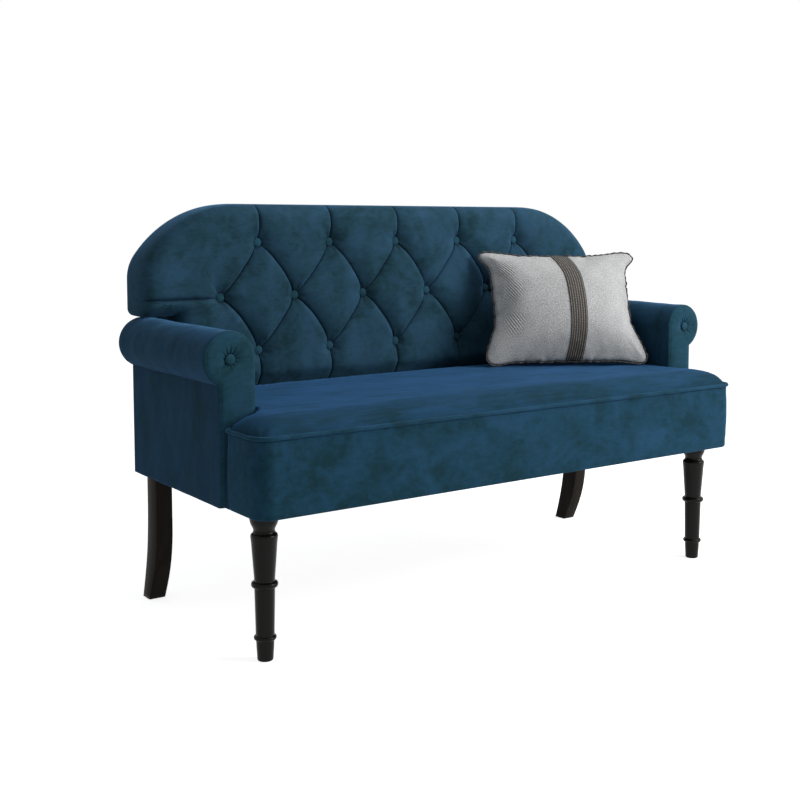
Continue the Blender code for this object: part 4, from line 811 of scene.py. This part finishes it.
def back_form(flat, pleats):
    """Depth and painted shade of the tufted face, from its pleats, buttons and edge."""
    whole = back_outline(step=0.010)
    near = np.hypot(*nearest(flat, np.vstack([whole, whole[:1]])).T)
    x, z = flat.T
    lift, groove, shade = np.ones(len(flat)), np.zeros(len(flat)), np.zeros(len(flat))
    for (kind, _, _), (path, lap, steep, easy) in pleats.items():
        level, falling = kind == "side", lap == FALLING
        offset = nearest(flat, path[::3])
        away = np.hypot(*offset.T)
        laps = offset @ lap > 0
        t = 1.0 - np.clip(away / np.where(laps, steep, easy), 0.0, 1.0)
        rolled = np.where(laps, (1.0 - t**2.4) ** (1 / 2.4), (1.0 - t**2.2) ** 0.80)
        share = {"side": 0.42, "top": 0.62, "foot": 0.62}.get(kind, 0.80 if falling else 0.64)
        lift = np.minimum(lift, 1.0 - share + share * rolled)
        groove = np.maximum(groove, (0.0032 if level else 0.0034) * np.exp(-away / 0.0020))
        fine = (0.0012 if level else 0.0015) * np.where(laps, 0.7, 1.3)
        # Painted shade along each pleat's crease, narrower on the side that laps over.
        shade = np.maximum(shade, np.exp(-away / fine) * (0.85 if level else 0.9 if falling else 0.7))
    lift *= 0.94 + 0.06 * wobble(flat, 0.21, 12)
    dimple = np.zeros(len(flat))
    for _, bx, bz in tuft_buttons():
        away = np.hypot(x - bx, z - bz)
        gather = np.cos(np.arctan2(z - bz, x - bx) * 9 + bx * 40) * bell(away - 0.017, 0.008)
        dimple += 0.0030 * bell(away, 0.012) + 0.0008 * gather
        lift *= 1.0 - 0.72 * bell(away, 0.021)
        # Painted shade: a dark ring round each button, where the fabric is drawn into its recess.
        shade = np.maximum(shade, 0.85 * bell(away - BUTTON_R, 0.0026))
        # Painted shadow: a dark halo on each button's right, as if cast by the puffs beside it.
        right = np.clip((x - bx) / np.maximum(away, 1e-6) * 0.5 + 0.5, 0, 1)
        shade = np.maximum(shade, 0.5 * right * bell(away, 0.022))
    tuck = smooth_step((SEAT_TOP_REAR + 0.030 - z) / 0.030)
    depth = PUFF * lift * quarter_round(near, 1.7 * EDGE_ROUND) * (1.0 - 0.8 * tuck)
    groove *= np.clip(near / 0.006, 0.0, 1.0)
    shade *= np.clip(near / 0.006, 0.4, 1.0)
    drift = 0.0007 * wobble(flat, 0.07, 14) * np.clip(near / 0.05, 0, 1)
    rounding = EDGE_ROUND * 0.75 * (1.0 - quarter_round(near, EDGE_ROUND))
    return TUFT_Y - depth + np.minimum(dimple + groove, 0.0050) + drift + rounding, np.clip(shade, 0.0, 1.0)


def open_edge(faces):
    """The vertex numbers along a surface's one open edge."""
    used = {pair for face in faces for pair in zip(face, face[1:] + face[:1])}
    follow = {b: a for a, b in used if (b, a) not in used}
    loop = [min(follow)]
    while follow[loop[-1]] != loop[0]:
        loop.append(follow[loop[-1]])
    return loop


def make_back():
    """The tufted face, puff by puff from rings that shrink to its centre, and the edge band."""
    pleats = pleat_lines()
    shared, skin = {}, Skin()
    for boundary, centre in back_cells(pleats):
        outer = []
        for x, z in boundary:
            key = round(x, 6), round(z, 6)
            if key not in shared:
                shared[key] = skin.point((x, z))
            outer.append(shared[key])
        for ring in CELL_RINGS:
            inner = [skin.point(place) for place in centre + ring * (boundary - centre)]
            skin.join(outer, inner)
            outer = inner
        skin.fan(outer, centre)
    flat = np.array(skin.points)
    depth, shade = back_form(flat, pleats)
    skin.points = [(x, y + FRONT, z) for (x, z), y in zip(flat, depth)]
    loop = open_edge(skin.faces)
    skin.rows = [loop]
    rim, edge_depth = flat[loop], depth[loop]
    out = outward(rim)
    centre = (0, 0.70)
    out *= np.sign((np.hypot(*(rim + out * 0.001 - centre).T) - np.hypot(*(rim - centre).T)).sum())
    across = np.abs(rim[:, 0])
    under = (np.abs(rim[:, 1] - WING_BOTTOM) < 0.004) & (across > BODY_HALF + 0.004)
    roll = ROLL_Z + np.sqrt(np.maximum(ROLL_R**2 - np.minimum(across - ROLL_X, 0.0) ** 2, 0.0))
    sag = np.clip(WING_BOTTOM - roll - 0.0012, 0.0, 0.011) * smooth_step((across - 0.583) / 0.012) * under
    for share, shrink in zip((0.25, 0.5, 0.75, 0.93, 0.98, 1.0, 1.0), (0, 0, 0, 0, 0.0012, 0.0040, 0.012)):
        swell = 0.0008 * math.sin(math.pi * share) + sag * (share < 0.97)
        moved = rim + out * (swell - shrink)[:, None]
        skin.add(moved[:, 0], edge_depth + (DEPTH - 0.0015 - edge_depth) * share + FRONT, moved[:, 1])
    shade = np.concatenate([shade, np.zeros(len(skin.points) - len(shade))])
    back = piece("tufted_back_velvet", skin, BACK_VELVET_PAINTED_LIGHT, ("back_cover",), painted_shade=shade)


def make_outside_back():
    """The plain outside panel, pulled tight, from the top edge to the bottom rail."""
    inset = 0.0043
    whole = back_outline(inset, SEAT_BOTTOM - inset + 0.0005, 0.012)
    centre = np.array([0.0, 0.66])
    rear = max(v.co.y for v in NODES["back_outside_panel"].data.vertices)
    skin = Skin()
    sinks = {1.0: 0.0042, 0.998: 0.0012, 0.992: 0.0002}
    for share in (1.0, 0.998, 0.992, 0.97, 0.9, 0.75, 0.5, 0.25):
        ring = centre + share * (whole - centre)
        puff = 0.0012 * (1 - share) + 0.0004 * wobble(ring, 0.15, 21) * (share < 0.98)
        skin.add(ring[:, 0], rear - sinks.get(share, 0.0) + puff, ring[:, 1])
    skin.fan(skin.rows[-1], (centre[0], rear + 0.0012, centre[1]))
    outside = piece("outside_back_velvet", skin, VELVET, ("back_outside_panel",))


def make_side_wrap(name, side):
    """Velvet turned round the back frame's edge, from the arm's rear to the outside panel."""
    inner, edge, front, rear = BODY_HALF - 0.0175, BODY_HALF + 0.0007, ARM_REAR - 0.0040, DEPTH - 0.0022
    ring = [(inner, front), (edge, front), (edge, rear - 0.0028), (edge - 0.0014, rear - 0.0008)]
    x, y = np.transpose([*ring, (edge - 0.0037, rear), (inner, rear)])
    skin = Skin()
    for z in np.linspace(SEAT_BOTTOM + 0.0002, BACK_BOTTOM + 0.0015, 12):
        sag = 0.0004 * math.sin(math.pi * (z - SEAT_BOTTOM) / (BACK_BOTTOM - SEAT_BOTTOM))
        skin.add(side * (x - sag * (x > inner)), y + FRONT - sag * (y > front), z)
    skin.cap()
    piece(f"back_side_wrap_{name}", skin)


# Arms


# Direction in degrees and reach in millimetres of each gather on the arm's front.
GATHERS = {8: 15, 38: 20, 66: 24, 92: 25, 118: 24, 146: 22, 176: 17, 208: 14, 240: 13, 268: 12, 296: 14}
SCROLL_RINGS = (
    0.045, 0.09, 0.13, 0.17, 0.21, 0.25, 0.29, 0.34, 0.39, 0.45, 0.52, 0.60, 0.69, 0.78, 0.87, 0.94,
    0.98, 1.0)


def keyhole(inset):
    """Scroll outline seen from the front as a closed loop: post, roll, outside, bottom."""
    inner, outer, radius = ARM_INNER + inset, ARM_OUTER - inset, ROLL_R - inset
    bottom = SEAT_BOTTOM + min(inset, 0.003)
    end = -math.degrees(math.acos(min((outer - ROLL_X) / radius, 1.0)))
    turn = ROLL_Z + math.sin(math.radians(end)) * radius
    low_in, high_in, high_out, low_out = map(np.array, (
        (inner, bottom), (inner, ROLL_Z), (outer, turn), (outer, bottom)))
    return np.vstack([
        low_in + np.linspace(0.0, 1.0, 60)[:-1, None] * (high_in - low_in),
        arc_points((ROLL_X, ROLL_Z), radius, 180, end, 110)[:-1],
        high_out + np.linspace(0.0, 1.0, 50)[:, None] * (low_out - high_out),
        low_out + np.linspace(0.0, 1.0, 14)[1:-1, None] * (low_in - low_out),
    ])


def facing_depth(x, z, edge):
    """How far the front facing's fabric stands back from its plane."""
    away = np.hypot(x - ROLL_X, z - ROLL_Z)
    angle = np.arctan2(z - ROLL_Z, x - ROLL_X)
    post = np.where(z < ROLL_Z, np.minimum(x - ARM_INNER, ARM_OUTER - x) - edge, -1.0)
    inside = np.maximum(np.maximum(ROLL_R - edge - away, post), 0.0)
    depth = 0.0078 * bell(away, 0.0125) + 0.0015 * bell(away, 0.026) - 0.0034 * quarter_round(inside, 0.026)

    def fold(degrees, start, reach, fade):
        turn = angle - math.radians(degrees)
        along = away * np.cos(turn)
        return away * np.sin(turn), smooth_step(along / start) * smooth_step((reach - along) / fade)

    for degrees, reach in GATHERS.items():
        off, strength = fold(degrees, 0.006, reach / 1000 + 0.006, 0.012)
        depth += strength * (0.0019 * bell(off, 0.0013) - 0.0005 * bell(np.abs(off) - 0.0028, 0.0016))
    # One deeper fold runs from the button down to the outside.
    off, strength = fold(-42, 0.008, 0.040, 0.020)
    return depth + 0.0022 * strength * bell(off, 0.0018)


def make_arm(name, side):
    """One velvet skin from the scroll's middle over the front edge and the roll to the rear."""
    edge, rear_edge = 0.0058, 0.004
    centre = np.array([ROLL_X, ROLL_Z])
    skin = Skin()

    def add(loop, y):
        skin.add(loop[:, 0], y, loop[:, 1])

    for scale in SCROLL_RINGS:
        loop = centre + scale * (keyhole(edge) - centre)
        add(loop, ARM_FRONT + facing_depth(*loop.T, edge))
    for a in np.radians((72, 54, 36, 18, 0)):
        add(keyhole(edge * (1 - math.cos(a))), ARM_FRONT + edge * (1 - math.sin(a)))
    for y in np.linspace(ARM_FRONT + edge, ARM_REAR - rear_edge, 52)[1:]:
        add(keyhole(0.0), y)
    for a in np.radians((30, 60, 90)):
        add(keyhole(rear_edge * (1 - math.cos(a))), ARM_REAR - rear_edge * (1 - math.sin(a)))
    for scale in (0.9, 0.6, 0.3):
        add(centre + scale * (keyhole(rear_edge) - centre), ARM_REAR)
    for row in (skin.rows[0], skin.rows[-1]):
        skin.fan(row, np.mean([skin.points[k] for k in row], axis=0))
    points = np.array(skin.points)
    depth = points[:, 1] - ARM_FRONT
    soft = smooth_step((depth - 0.012) / 0.03) * smooth_step((ARM_REAR - ARM_FRONT - depth) / 0.03)
    roll = points[:, [0, 2]] - centre
    away = np.maximum(np.hypot(*roll.T), 1e-6)
    level = (points[:, 2] < ROLL_Z - 0.054)[:, None]
    direction = np.where(level, np.column_stack([np.sign(roll[:, 0]), 0 * away]), roll / away[:, None])
    push = 0.0008 * wobble(points, 0.13, 31 + side) + 0.0003 * wobble(points, 0.04, 33 + side)
    points[:, [0, 2]] += direction * (push * soft)[:, None]
    x, y, z = points.T
    # Painted shade: the outer panel below the roll is darkened as the side turned from the light, and a line
    # under the roll's outer side as the shade in its crease.
    behind = smooth_step((depth - 0.004) / 0.006)
    outside = smooth_step((x - ARM_OUTER + 0.012) / 0.010) * smooth_step((ROLL_Z - 0.046 - z) / 0.02)
    fold = bell(away - ROLL_R - 0.001, 0.0045) * smooth_step((x - ROLL_X) / 0.010) * (z < ROLL_Z - 0.044)
    shade = behind * np.maximum(0.22 * outside, 0.55 * fold)
    skin.points = points * (side, 1, 1) + (0, FRONT, 0)
    nodes = [f"arm_{part}_{name}" for part in ("cover", "front_facing", "rear_facing")]
    arm = piece(f"arm_velvet_{name}", skin, ARM_VELVET, nodes, painted_shade=shade)
    arm.data.materials.append(FACING_VELVET)
    for face in arm.data.polygons:
        if face.center.y < FRONT + ARM_FRONT + 0.0035:
            face.material_index = 1


# Buttons


# Radius and drop of the button's rings, from its middle to under its rim.
DOME = (
    (0.22, 0.02), (0.45, 0.09), (0.65, 0.20), (0.82, 0.38), (0.94, 0.62), (1.0, 0.95), (0.98, 1.25),
    (0.90, 1.5))


def make_button(name, node):
    """A covered button: a flattened dome with a rolled rim and small tucks."""
    sides = 28
    low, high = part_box(node)
    x, y, z = (low.x + high.x) / 2, low.y - 0.0004, (low.z + high.z) / 2
    angles = np.arange(sides) * math.tau / sides
    tucks = 0.025 * (0.5 + 0.5 * np.cos(angles * 7 + x * 90))
    skin = Skin()
    for share, drop in DOME:
        radius = BUTTON_R * share * (1.0 - tucks * share**4)
        skin.add(x + radius * np.cos(angles), y + 0.0040 * drop, z + radius * np.sin(angles))
    skin.fan(skin.rows[0], (x, y, z))
    piece(name, skin, BUTTON_VELVET_PAINTED_LIGHT, (node,))


# Legs


def smooth_profile(points, per):
    """Catmull-Rom curve through profile points in millimetres, in metres."""
    p = np.array([points[0], *points, points[-1]]) / 1000
    curve = []
    for a, b, c, d in zip(p, p[1:], p[2:], p[3:]):
        for t in np.linspace(0, 1, per, endpoint=False):
            bend = (2 * a - 5 * b + 4 * c - d) * t**2 + (3 * b - a - 3 * c + d) * t**3
            curve.append(0.5 * (2 * b + (c - a) * t + bend))
    return np.array(curve + [p[-2]])


# Radius and height in millimetres of the turned leg: collar, neck, head, taper, two rings and foot.
TURNING = (
    (28.3, 286.8), (27.9, 276), (26.2, 267), (22.8, 259.7), (20.9, 255.2), (20.8, 252.8),
    (22.1, 248.6), (24.7, 246.2), (26.1, 243.6), (26.3, 240), (25.1, 230), (24.2, 218),
    (23.1, 201.7), (21.4, 178.6), (20.1, 161), (19.9, 156.6), (20.3, 154.8), (23.2, 153.6),
    (25.1, 151.9), (26, 148.6), (25.2, 145), (23.2, 143.2), (20.3, 142.1), (19.9, 140),
    (19.4, 120), (18.8, 90), (18.4, 69), (18.2, 52), (18.4, 49.4), (20.3, 48.2),
    (21.6, 46.6), (22, 44.6), (21.5, 42.4), (20, 40.8), (17.8, 40), (17.5, 38),
    (17, 26), (16.2, 13), (15.7, 4), (15.2, 1.2), (14, 0),
)

# Height and depth in millimetres of the sabre leg's front and rear faces.
SABRE_FRONT = ((286.8, 498), (200, 498), (150, 498.5), (110, 503.5), (75, 512.5), (40, 526), (0, 545.1))
SABRE_REAR = ((286.8, 548), (215, 548), (170, 549.6), (125, 553.5), (87, 560), (45, 570), (0, 582.7))


def make_front_leg(name):
    low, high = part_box(f"front_leg_{name}")
    x, y = (low.x + high.x) / 2, (low.y + high.y) / 2
    angles = np.arange(56) * math.tau / 56
    skin = Skin()
    for radius, z in smooth_profile(TURNING, 4):
        skin.add(x + radius * np.cos(angles), y + radius * np.sin(angles), max(z, 0.0))
    skin.cap()
    piece(f"turned_leg_{name}", skin, LEG, (f"front_leg_{name}",))


def make_rear_leg(name):
    low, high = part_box(f"rear_leg_{name}")
    faces = [smooth_profile(points, 6)[::-1].T for points in (SABRE_FRONT, SABRE_REAR)]
    radius = 0.0028
    skin = Skin()
    for share in np.linspace(0.0, 1.0, 34):
        z = high.z * (1 - share)
        front, rear = (np.interp(z, *face) + FRONT for face in faces)
        corners = ((high.x - radius, rear - radius, 0), (low.x + radius, rear - radius, 90),
                   (low.x + radius, front + radius, 180), (high.x - radius, front + radius, 270))
        ring = np.vstack([arc_points((x, y), radius, turn, turn + 90, 3) for x, y, turn in corners])
        skin.add(*ring.T, z)
    skin.cap()
    piece(f"sabre_leg_{name}", skin, REAR_LEG_PAINTED_LIGHT, (f"rear_leg_{name}",))


# Pillow


PILLOW_ROWS = 58
PILLOW_COLUMNS = 78
CLOTH = {
    "quality": 8, "mass": 0.20, "use_pressure": True, "uniform_pressure_force": 6.0, "air_damping": 3.0,
    "tension_stiffness": 30.0, "compression_stiffness": 12.0, "shear_stiffness": 6.0,
    "bending_stiffness": 0.6, "tension_damping": 8.0, "compression_damping": 8.0,
}


def pillow_frame():
    """The matrix that stands the pillow on the seat, leaning on the back."""
    yaw = math.radians(PILLOW_YAW)
    ends = np.array([-0.5, 0.5]) * PILLOW_W
    left, right = seat_top(PILLOW_X + ends * math.cos(yaw), PILLOW_Y + ends * math.sin(yaw))
    turn = Matrix.Rotation(yaw, 4, "Z") @ Matrix.Rotation(math.atan2(left - right, PILLOW_W), 4, "Y")
    turn @= Matrix.Rotation(-math.radians(PILLOW_LEAN), 4, "X")
    return Matrix.Translation((PILLOW_X, FRONT + PILLOW_Y, (left + right) / 2 + 0.0047)) @ turn


def pillow_part(name, skin, material, node, uvs=None, smooth=True, wall=None):
    """A piece of the pillow, given upright and stood in its place."""
    stand = np.array(pillow_frame())
    skin.points = np.asarray(skin.points) @ stand[:3, :3].T + stand[:3, 3]
    made = piece(name, skin, material, (node,), "pillow", uvs, turn_out=False)
    if smooth:
        smoother = made.modifiers.new("smooth", "SUBSURF")
        smoother.levels = smoother.render_levels = 1
    if wall:
        thick = made.modifiers.new("wall", "SOLIDIFY")
        thick.thickness, thick.offset = wall, 0.0
    return made


def pillow_grids():
    """Vertex numbers of the front and back sheets, which share their rim."""
    front = np.arange(PILLOW_ROWS * PILLOW_COLUMNS).reshape(PILLOW_ROWS, PILLOW_COLUMNS)
    back = front.copy()
    inner = back[1:-1, 1:-1]
    inner[:] = front.size + np.arange(inner.size).reshape(inner.shape)
    return front, back, front.size + inner.size


def flat_pillow(front, back, count):
    """The two sheets as cut: rectangles with rounded corners, a little apart."""
    half_w, half_h, radius = 0.2115, 0.1560, 0.024
    u, v = np.meshgrid(np.linspace(-1, 1, PILLOW_COLUMNS), np.linspace(-1, 1, PILLOW_ROWS))
    quarter = round_corner(np.abs(u * half_w), np.abs(v * half_h), (half_w, half_h), radius)
    x, z = np.copysign(quarter[0], u), np.copysign(quarter[1], v)
    swell = 0.016 * np.sqrt(np.maximum((1 - u * u) * (1 - v * v), 0.0))
    local, uv = np.zeros((count, 3)), np.zeros((count, 2))
    for grid, side in ((back, 1), (front, -1)):
        local[grid] = np.dstack([x, side * swell, z + PILLOW_H / 2])
        uv[grid] = np.dstack([x, z])
    local[:, 1] += 0.0012 * wobble(local, 0.06, 41) * (np.abs(local[:, 1]) > 1e-6)
    return local, uv


def inflate(local, faces):
    """Blows the two sewn sheets up with Blender's cloth, without gravity."""
    mesh = bpy.data.meshes.new("pillow_blank")
    mesh.from_pydata([tuple(p) for p in local], [], faces)
    blank = show("pillow_blank", mesh)
    scene = bpy.context.scene
    cloth = blank.modifiers.new("cloth", "CLOTH")
    cloth.point_cache.frame_end = 34
    for key, value in CLOTH.items():
        setattr(cloth.settings, key, value)
    cloth.settings.effector_weights.gravity = 0.0
    cloth.collision_settings.use_collision = False
    for step in range(1, 33):
        scene.frame_set(step)
    solved = blank.evaluated_get(bpy.context.evaluated_depsgraph_get()).to_mesh()
    flat = np.zeros(len(local) * 3)
    solved.vertices.foreach_get("co", flat)
    scene.frame_set(1)
    bpy.data.objects.remove(blank)
    bpy.data.meshes.remove(mesh)
    return flat.reshape(-1, 3)


def rim_loop(front):
    """The seam's vertex numbers, once round."""
    return np.concatenate([front[0, :-1], front[:-1, -1], front[-1, :0:-1], front[:0:-1, 0]])


def soften(table, rounds, open_edge):
    """Averages a grid with its neighbours; the edge is held, or follows when it is open."""
    table = table.copy()
    for _ in range(rounds):
        wide = np.pad(table, ((1, 1), (1, 1)) + ((0, 0),) * (table.ndim - 2), "edge")
        mean = (wide[:-2, 1:-1] + wide[2:, 1:-1] + wide[1:-1, :-2] + wide[1:-1, 2:]) / 4
        if open_edge:
            table = mean
        else:
            table[1:-1, 1:-1] = mean[1:-1, 1:-1]
    return table


def calm(fitted, cut, grid, u, v):
    """Fills out the large buckles of one sheet and leaves the small puckers by the seam."""
    inner = grid[1:-1, 1:-1]
    plump = ((1 - u[inner] ** 2) * (1 - v[inner] ** 2)) ** 0.46
    ratio = fitted[inner, 1] / plump
    kept = np.clip(0.62 - 0.56 * plump / 0.75, 0.14, 0.6)
    fitted[inner, 1] = plump * (kept * ratio + (1 - kept) * soften(ratio, 60, True))
    kept = kept[..., None]
    drift = (fitted - cut)[grid][..., ::2]
    even = kept * drift[1:-1, 1:-1] + (1 - kept) * soften(drift, 60, False)[1:-1, 1:-1]
    for axis in (0, 2):
        fitted[inner, axis] = cut[inner, axis] + even[..., axis // 2]


def fit_pillow(local, cut, front, back):
    """Sets the seam on the pillow's outline, keeps its small puckers, and fits the thickness."""
    half_w, half_h = cut[:, 0].max(), (cut[:, 2] - PILLOW_H / 2).max()
    u, v = cut[:, 0] / half_w, (cut[:, 2] - PILLOW_H / 2) / half_h
    below = v < 0
    wanted = np.zeros_like(local)
    ear = smooth_step((np.abs(v) - np.where(below, 0.20, 0.66)) / np.where(below, 0.70, 0.27))
    ear = np.where(below, ear, 0.12 * np.abs(v) + 0.88 * ear)
    wanted[:, 0] = u * (PILLOW_W / 2 + 0.0025 - 0.032 * (1 - ear))
    ear = smooth_step((np.abs(u) - np.where(below, 0.60, 0.35)) / np.where(below, 0.34, 0.58))
    wanted[:, 2] = PILLOW_H / 2 + v * (PILLOW_H / 2 - np.where(below, 0.009, 0.011) * (1 - ear))
    rim = rim_loop(front)
    shift = wanted[rim] - local[rim]
    smooth = sum(np.roll(shift, k, axis=0) for k in range(-3, 4)) / 7
    at_corner = (np.abs(u[rim] * v[rim]) > 0.72)[:, None]
    table = np.zeros((PILLOW_ROWS, PILLOW_COLUMNS, 3))
    table.reshape(-1, 3)[rim] = np.where(at_corner, shift, 0.25 * shift + 0.75 * smooth)
    s = np.linspace(0, 1, PILLOW_COLUMNS)[None, :, None]
    t = np.linspace(0, 1, PILLOW_ROWS)[:, None, None]
    across = (1 - s) * table[:, :1] + s * table[:, -1:]
    along = (1 - t) * table[:1] + t * table[-1:]
    corners = (1 - t) * across[:1] + t * across[-1:]
    fitted = local.copy()
    for sheet in (back, front):
        fitted[sheet] = local[sheet] + across + along - corners
    for sheet in (front, back):
        calm(fitted, cut, sheet, u, v)
    fitted[:, 1] *= (PILLOW_T + 0.006) / np.ptp(fitted[:, 1])
    return fitted


def make_pillow():
    """The sewn and filled cushion, with its ribbon and trim."""
    front, back, count = pillow_grids()
    cut, uv = flat_pillow(front, back, count)
    faces = []
    for grid, turn in ((front, 1), (back, -1)):
        corners = grid[:-1, :-1], grid[:-1, 1:], grid[1:, 1:], grid[1:, :-1]
        faces += np.dstack(corners).reshape(-1, 4)[:, ::turn].tolist()
    local = fit_pillow(inflate(cut, faces), cut, front, back)
    cushion = pillow_part("lumbar_pillow", Skin(local, faces), WEAVE, "pillow_cushion", uv)
    make_pillow_band(local[front])
    make_pillow_trim(local[rim_loop(front)])


def make_pillow_band(sheet):
    """The ribbon follows the pillow's face from seam to seam, slightly bowed."""
    skin, uvs = Skin(closed=False), []
    across = np.linspace(-0.5, 0.5, 9)
    for v, line in zip(np.linspace(-1, 1, len(sheet)), sheet):
        x = BAND_X - 0.016 * v * v + 0.007 * v * v * (v < 0) + across * BAND_W
        y, z = (np.interp(x, line[:, 0], line[:, axis]) for axis in (1, 2))
        skin.add(x, y - 0.0014, z)
        uvs += [(share + 0.5, (v + 1) / 2) for share in across]
    pillow_part("ribbed_band", skin, RIBBON, "pillow_band", uvs=uvs, wall=0.0009)


def make_pillow_trim(seam):
    """Ruffled trim sewn into the seam all round."""
    length = np.cumsum(np.linalg.norm(seam - np.roll(seam, 1, axis=0), axis=1))
    samples = np.linspace(0, length[-1], 420, endpoint=False)
    closed, marks = np.vstack([seam[-1], seam]), np.concatenate([[0.0], length])
    path = np.column_stack([np.interp(samples, marks, closed[:, axis]) for axis in range(3)])
    along = np.roll(path, -1, axis=0) - np.roll(path, 1, axis=0)
    along /= np.linalg.norm(along, axis=1)[:, None]
    out = np.column_stack([along[:, 2], 0 * samples, -along[:, 0]])
    out *= np.sign(((path - path.mean(0)) * out).sum())
    skin = Skin()
    for reach, sway in ((-0.0010, 0.0), (0.0011, 0.6), (0.0029, 1.0)):
        moved = path + out * (reach + 0.0006 * np.sin(samples * 91))[:, None]
        moved[:, 1] += 0.0022 * sway * np.sin(samples * math.tau / 0.017 + 1.5 * np.sin(samples * 37))
        skin.add(*moved.T)
    pillow_part("ruffled_trim", skin, TRIM, "pillow_trim", smooth=False, wall=0.0008)


# Stage


def make_floor():
    """A pale floor that takes a faint shadow and looks white to the camera."""
    bpy.ops.mesh.primitive_plane_add(size=40.0, location=(0.0, 0.0, -0.0006))
    floor = bpy.context.object
    floor.name = "floor"
    n = Nodes(bpy.data.materials.new("pale_floor"))
    n.set(Base_Color=(0.80, 0.80, 0.80), Roughness=0.9, Specular_IOR_Level=0.0)
    glow = {"Color": (1.0, 1.0, 1.0), "Strength": n.math("MULTIPLY", n.seen_rays(), 0.80)}
    both = n.node("AddShader", 0, {0: n.shader.outputs[0], 1: n.node("Emission", 0, glow)})
    n.give(n.tree.nodes["Material Output"].inputs["Surface"], both)
    floor.data.materials.append(n.owner)


def make_world():
    """White where the camera sees it, a soft cool grey as the light of the room."""
    bpy.context.scene.world = bpy.data.worlds.new("studio")
    n = Nodes(bpy.context.scene.world)
    room = n.tree.nodes["Background"]
    n.give(room.inputs["Color"], (0.97, 0.985, 1.0))
    n.give(room.inputs["Strength"], 0.32)
    white = n.node("Background", 0, {"Color": (1.0, 1.0, 1.0), "Strength": 1.0})
    mix = n.node("MixShader", 0, enumerate((n.seen_rays(), room.outputs[0], white)))
    n.give(n.tree.nodes["World Output"].inputs["Surface"], mix)


def add_lamp(name, location, target, power):
    light = bpy.data.lights.new(name, "AREA")
    light.shape = "DISK"
    light.size = 1.8
    light.energy = power
    obj = show(name, light)
    obj.location = location
    obj.rotation_euler = (Vector(target) - Vector(location)).to_track_quat("-Z", "Y").to_euler()


def make_camera():
    """The camera that was fitted to the photograph, from its pixels in a picture 800 wide."""
    picture, focal, centre_x, centre_y = 800.0, 1172.5, 419.14, 318.91
    data = bpy.data.cameras.new("camera")
    data.sensor_width = 36.0
    data.lens = focal / picture * data.sensor_width
    data.shift_x = (picture / 2 - centre_x) / picture
    data.shift_y = (centre_y - picture / 2) / picture
    camera = show("camera", data)
    camera.location = (-1.6329, -1.8757 + FRONT, 0.8285)
    camera.rotation_euler = (math.radians(90 - 4.550), 0.0, math.radians(-35.543))
    bpy.context.scene.camera = camera


def dress_frame():
    """Gives every carried-over CAD node its procedural material, by the record's slot."""
    for row in frame["record"]["subparts"]:
        materials = NODES[row["node"]].data.materials
        materials.clear()
        materials.append(CAD_MATERIALS[row["material_slot"]])


make_camera()
make_floor()
make_world()
add_lamp("key", (2.15, -2.4, 1.75), (0.25, -0.1, 0.45), 81.0)
add_lamp("top", (1.1, -0.7, 2.8), (0.2, 0.0, 0.4), 27.0)
dress_frame()
make_seat_top()
make_seat_border()
make_welt()
make_dust_cover()
make_back()
make_outside_back()
for name, side in (("left", -1), ("right", 1)):
    make_arm(name, side)
    make_rail_wrap(name, side)
    make_side_wrap(name, side)
    make_button(f"arm_rosette_{name}", f"arm_button_{name}")
    make_front_leg(name)
    make_rear_leg(name)
for label, _, _ in tuft_buttons():
    make_button(f"tuft_button_{label}", f"back_button_{label}")
make_pillow()
bpy.context.scene.view_settings.view_transform = "Standard"
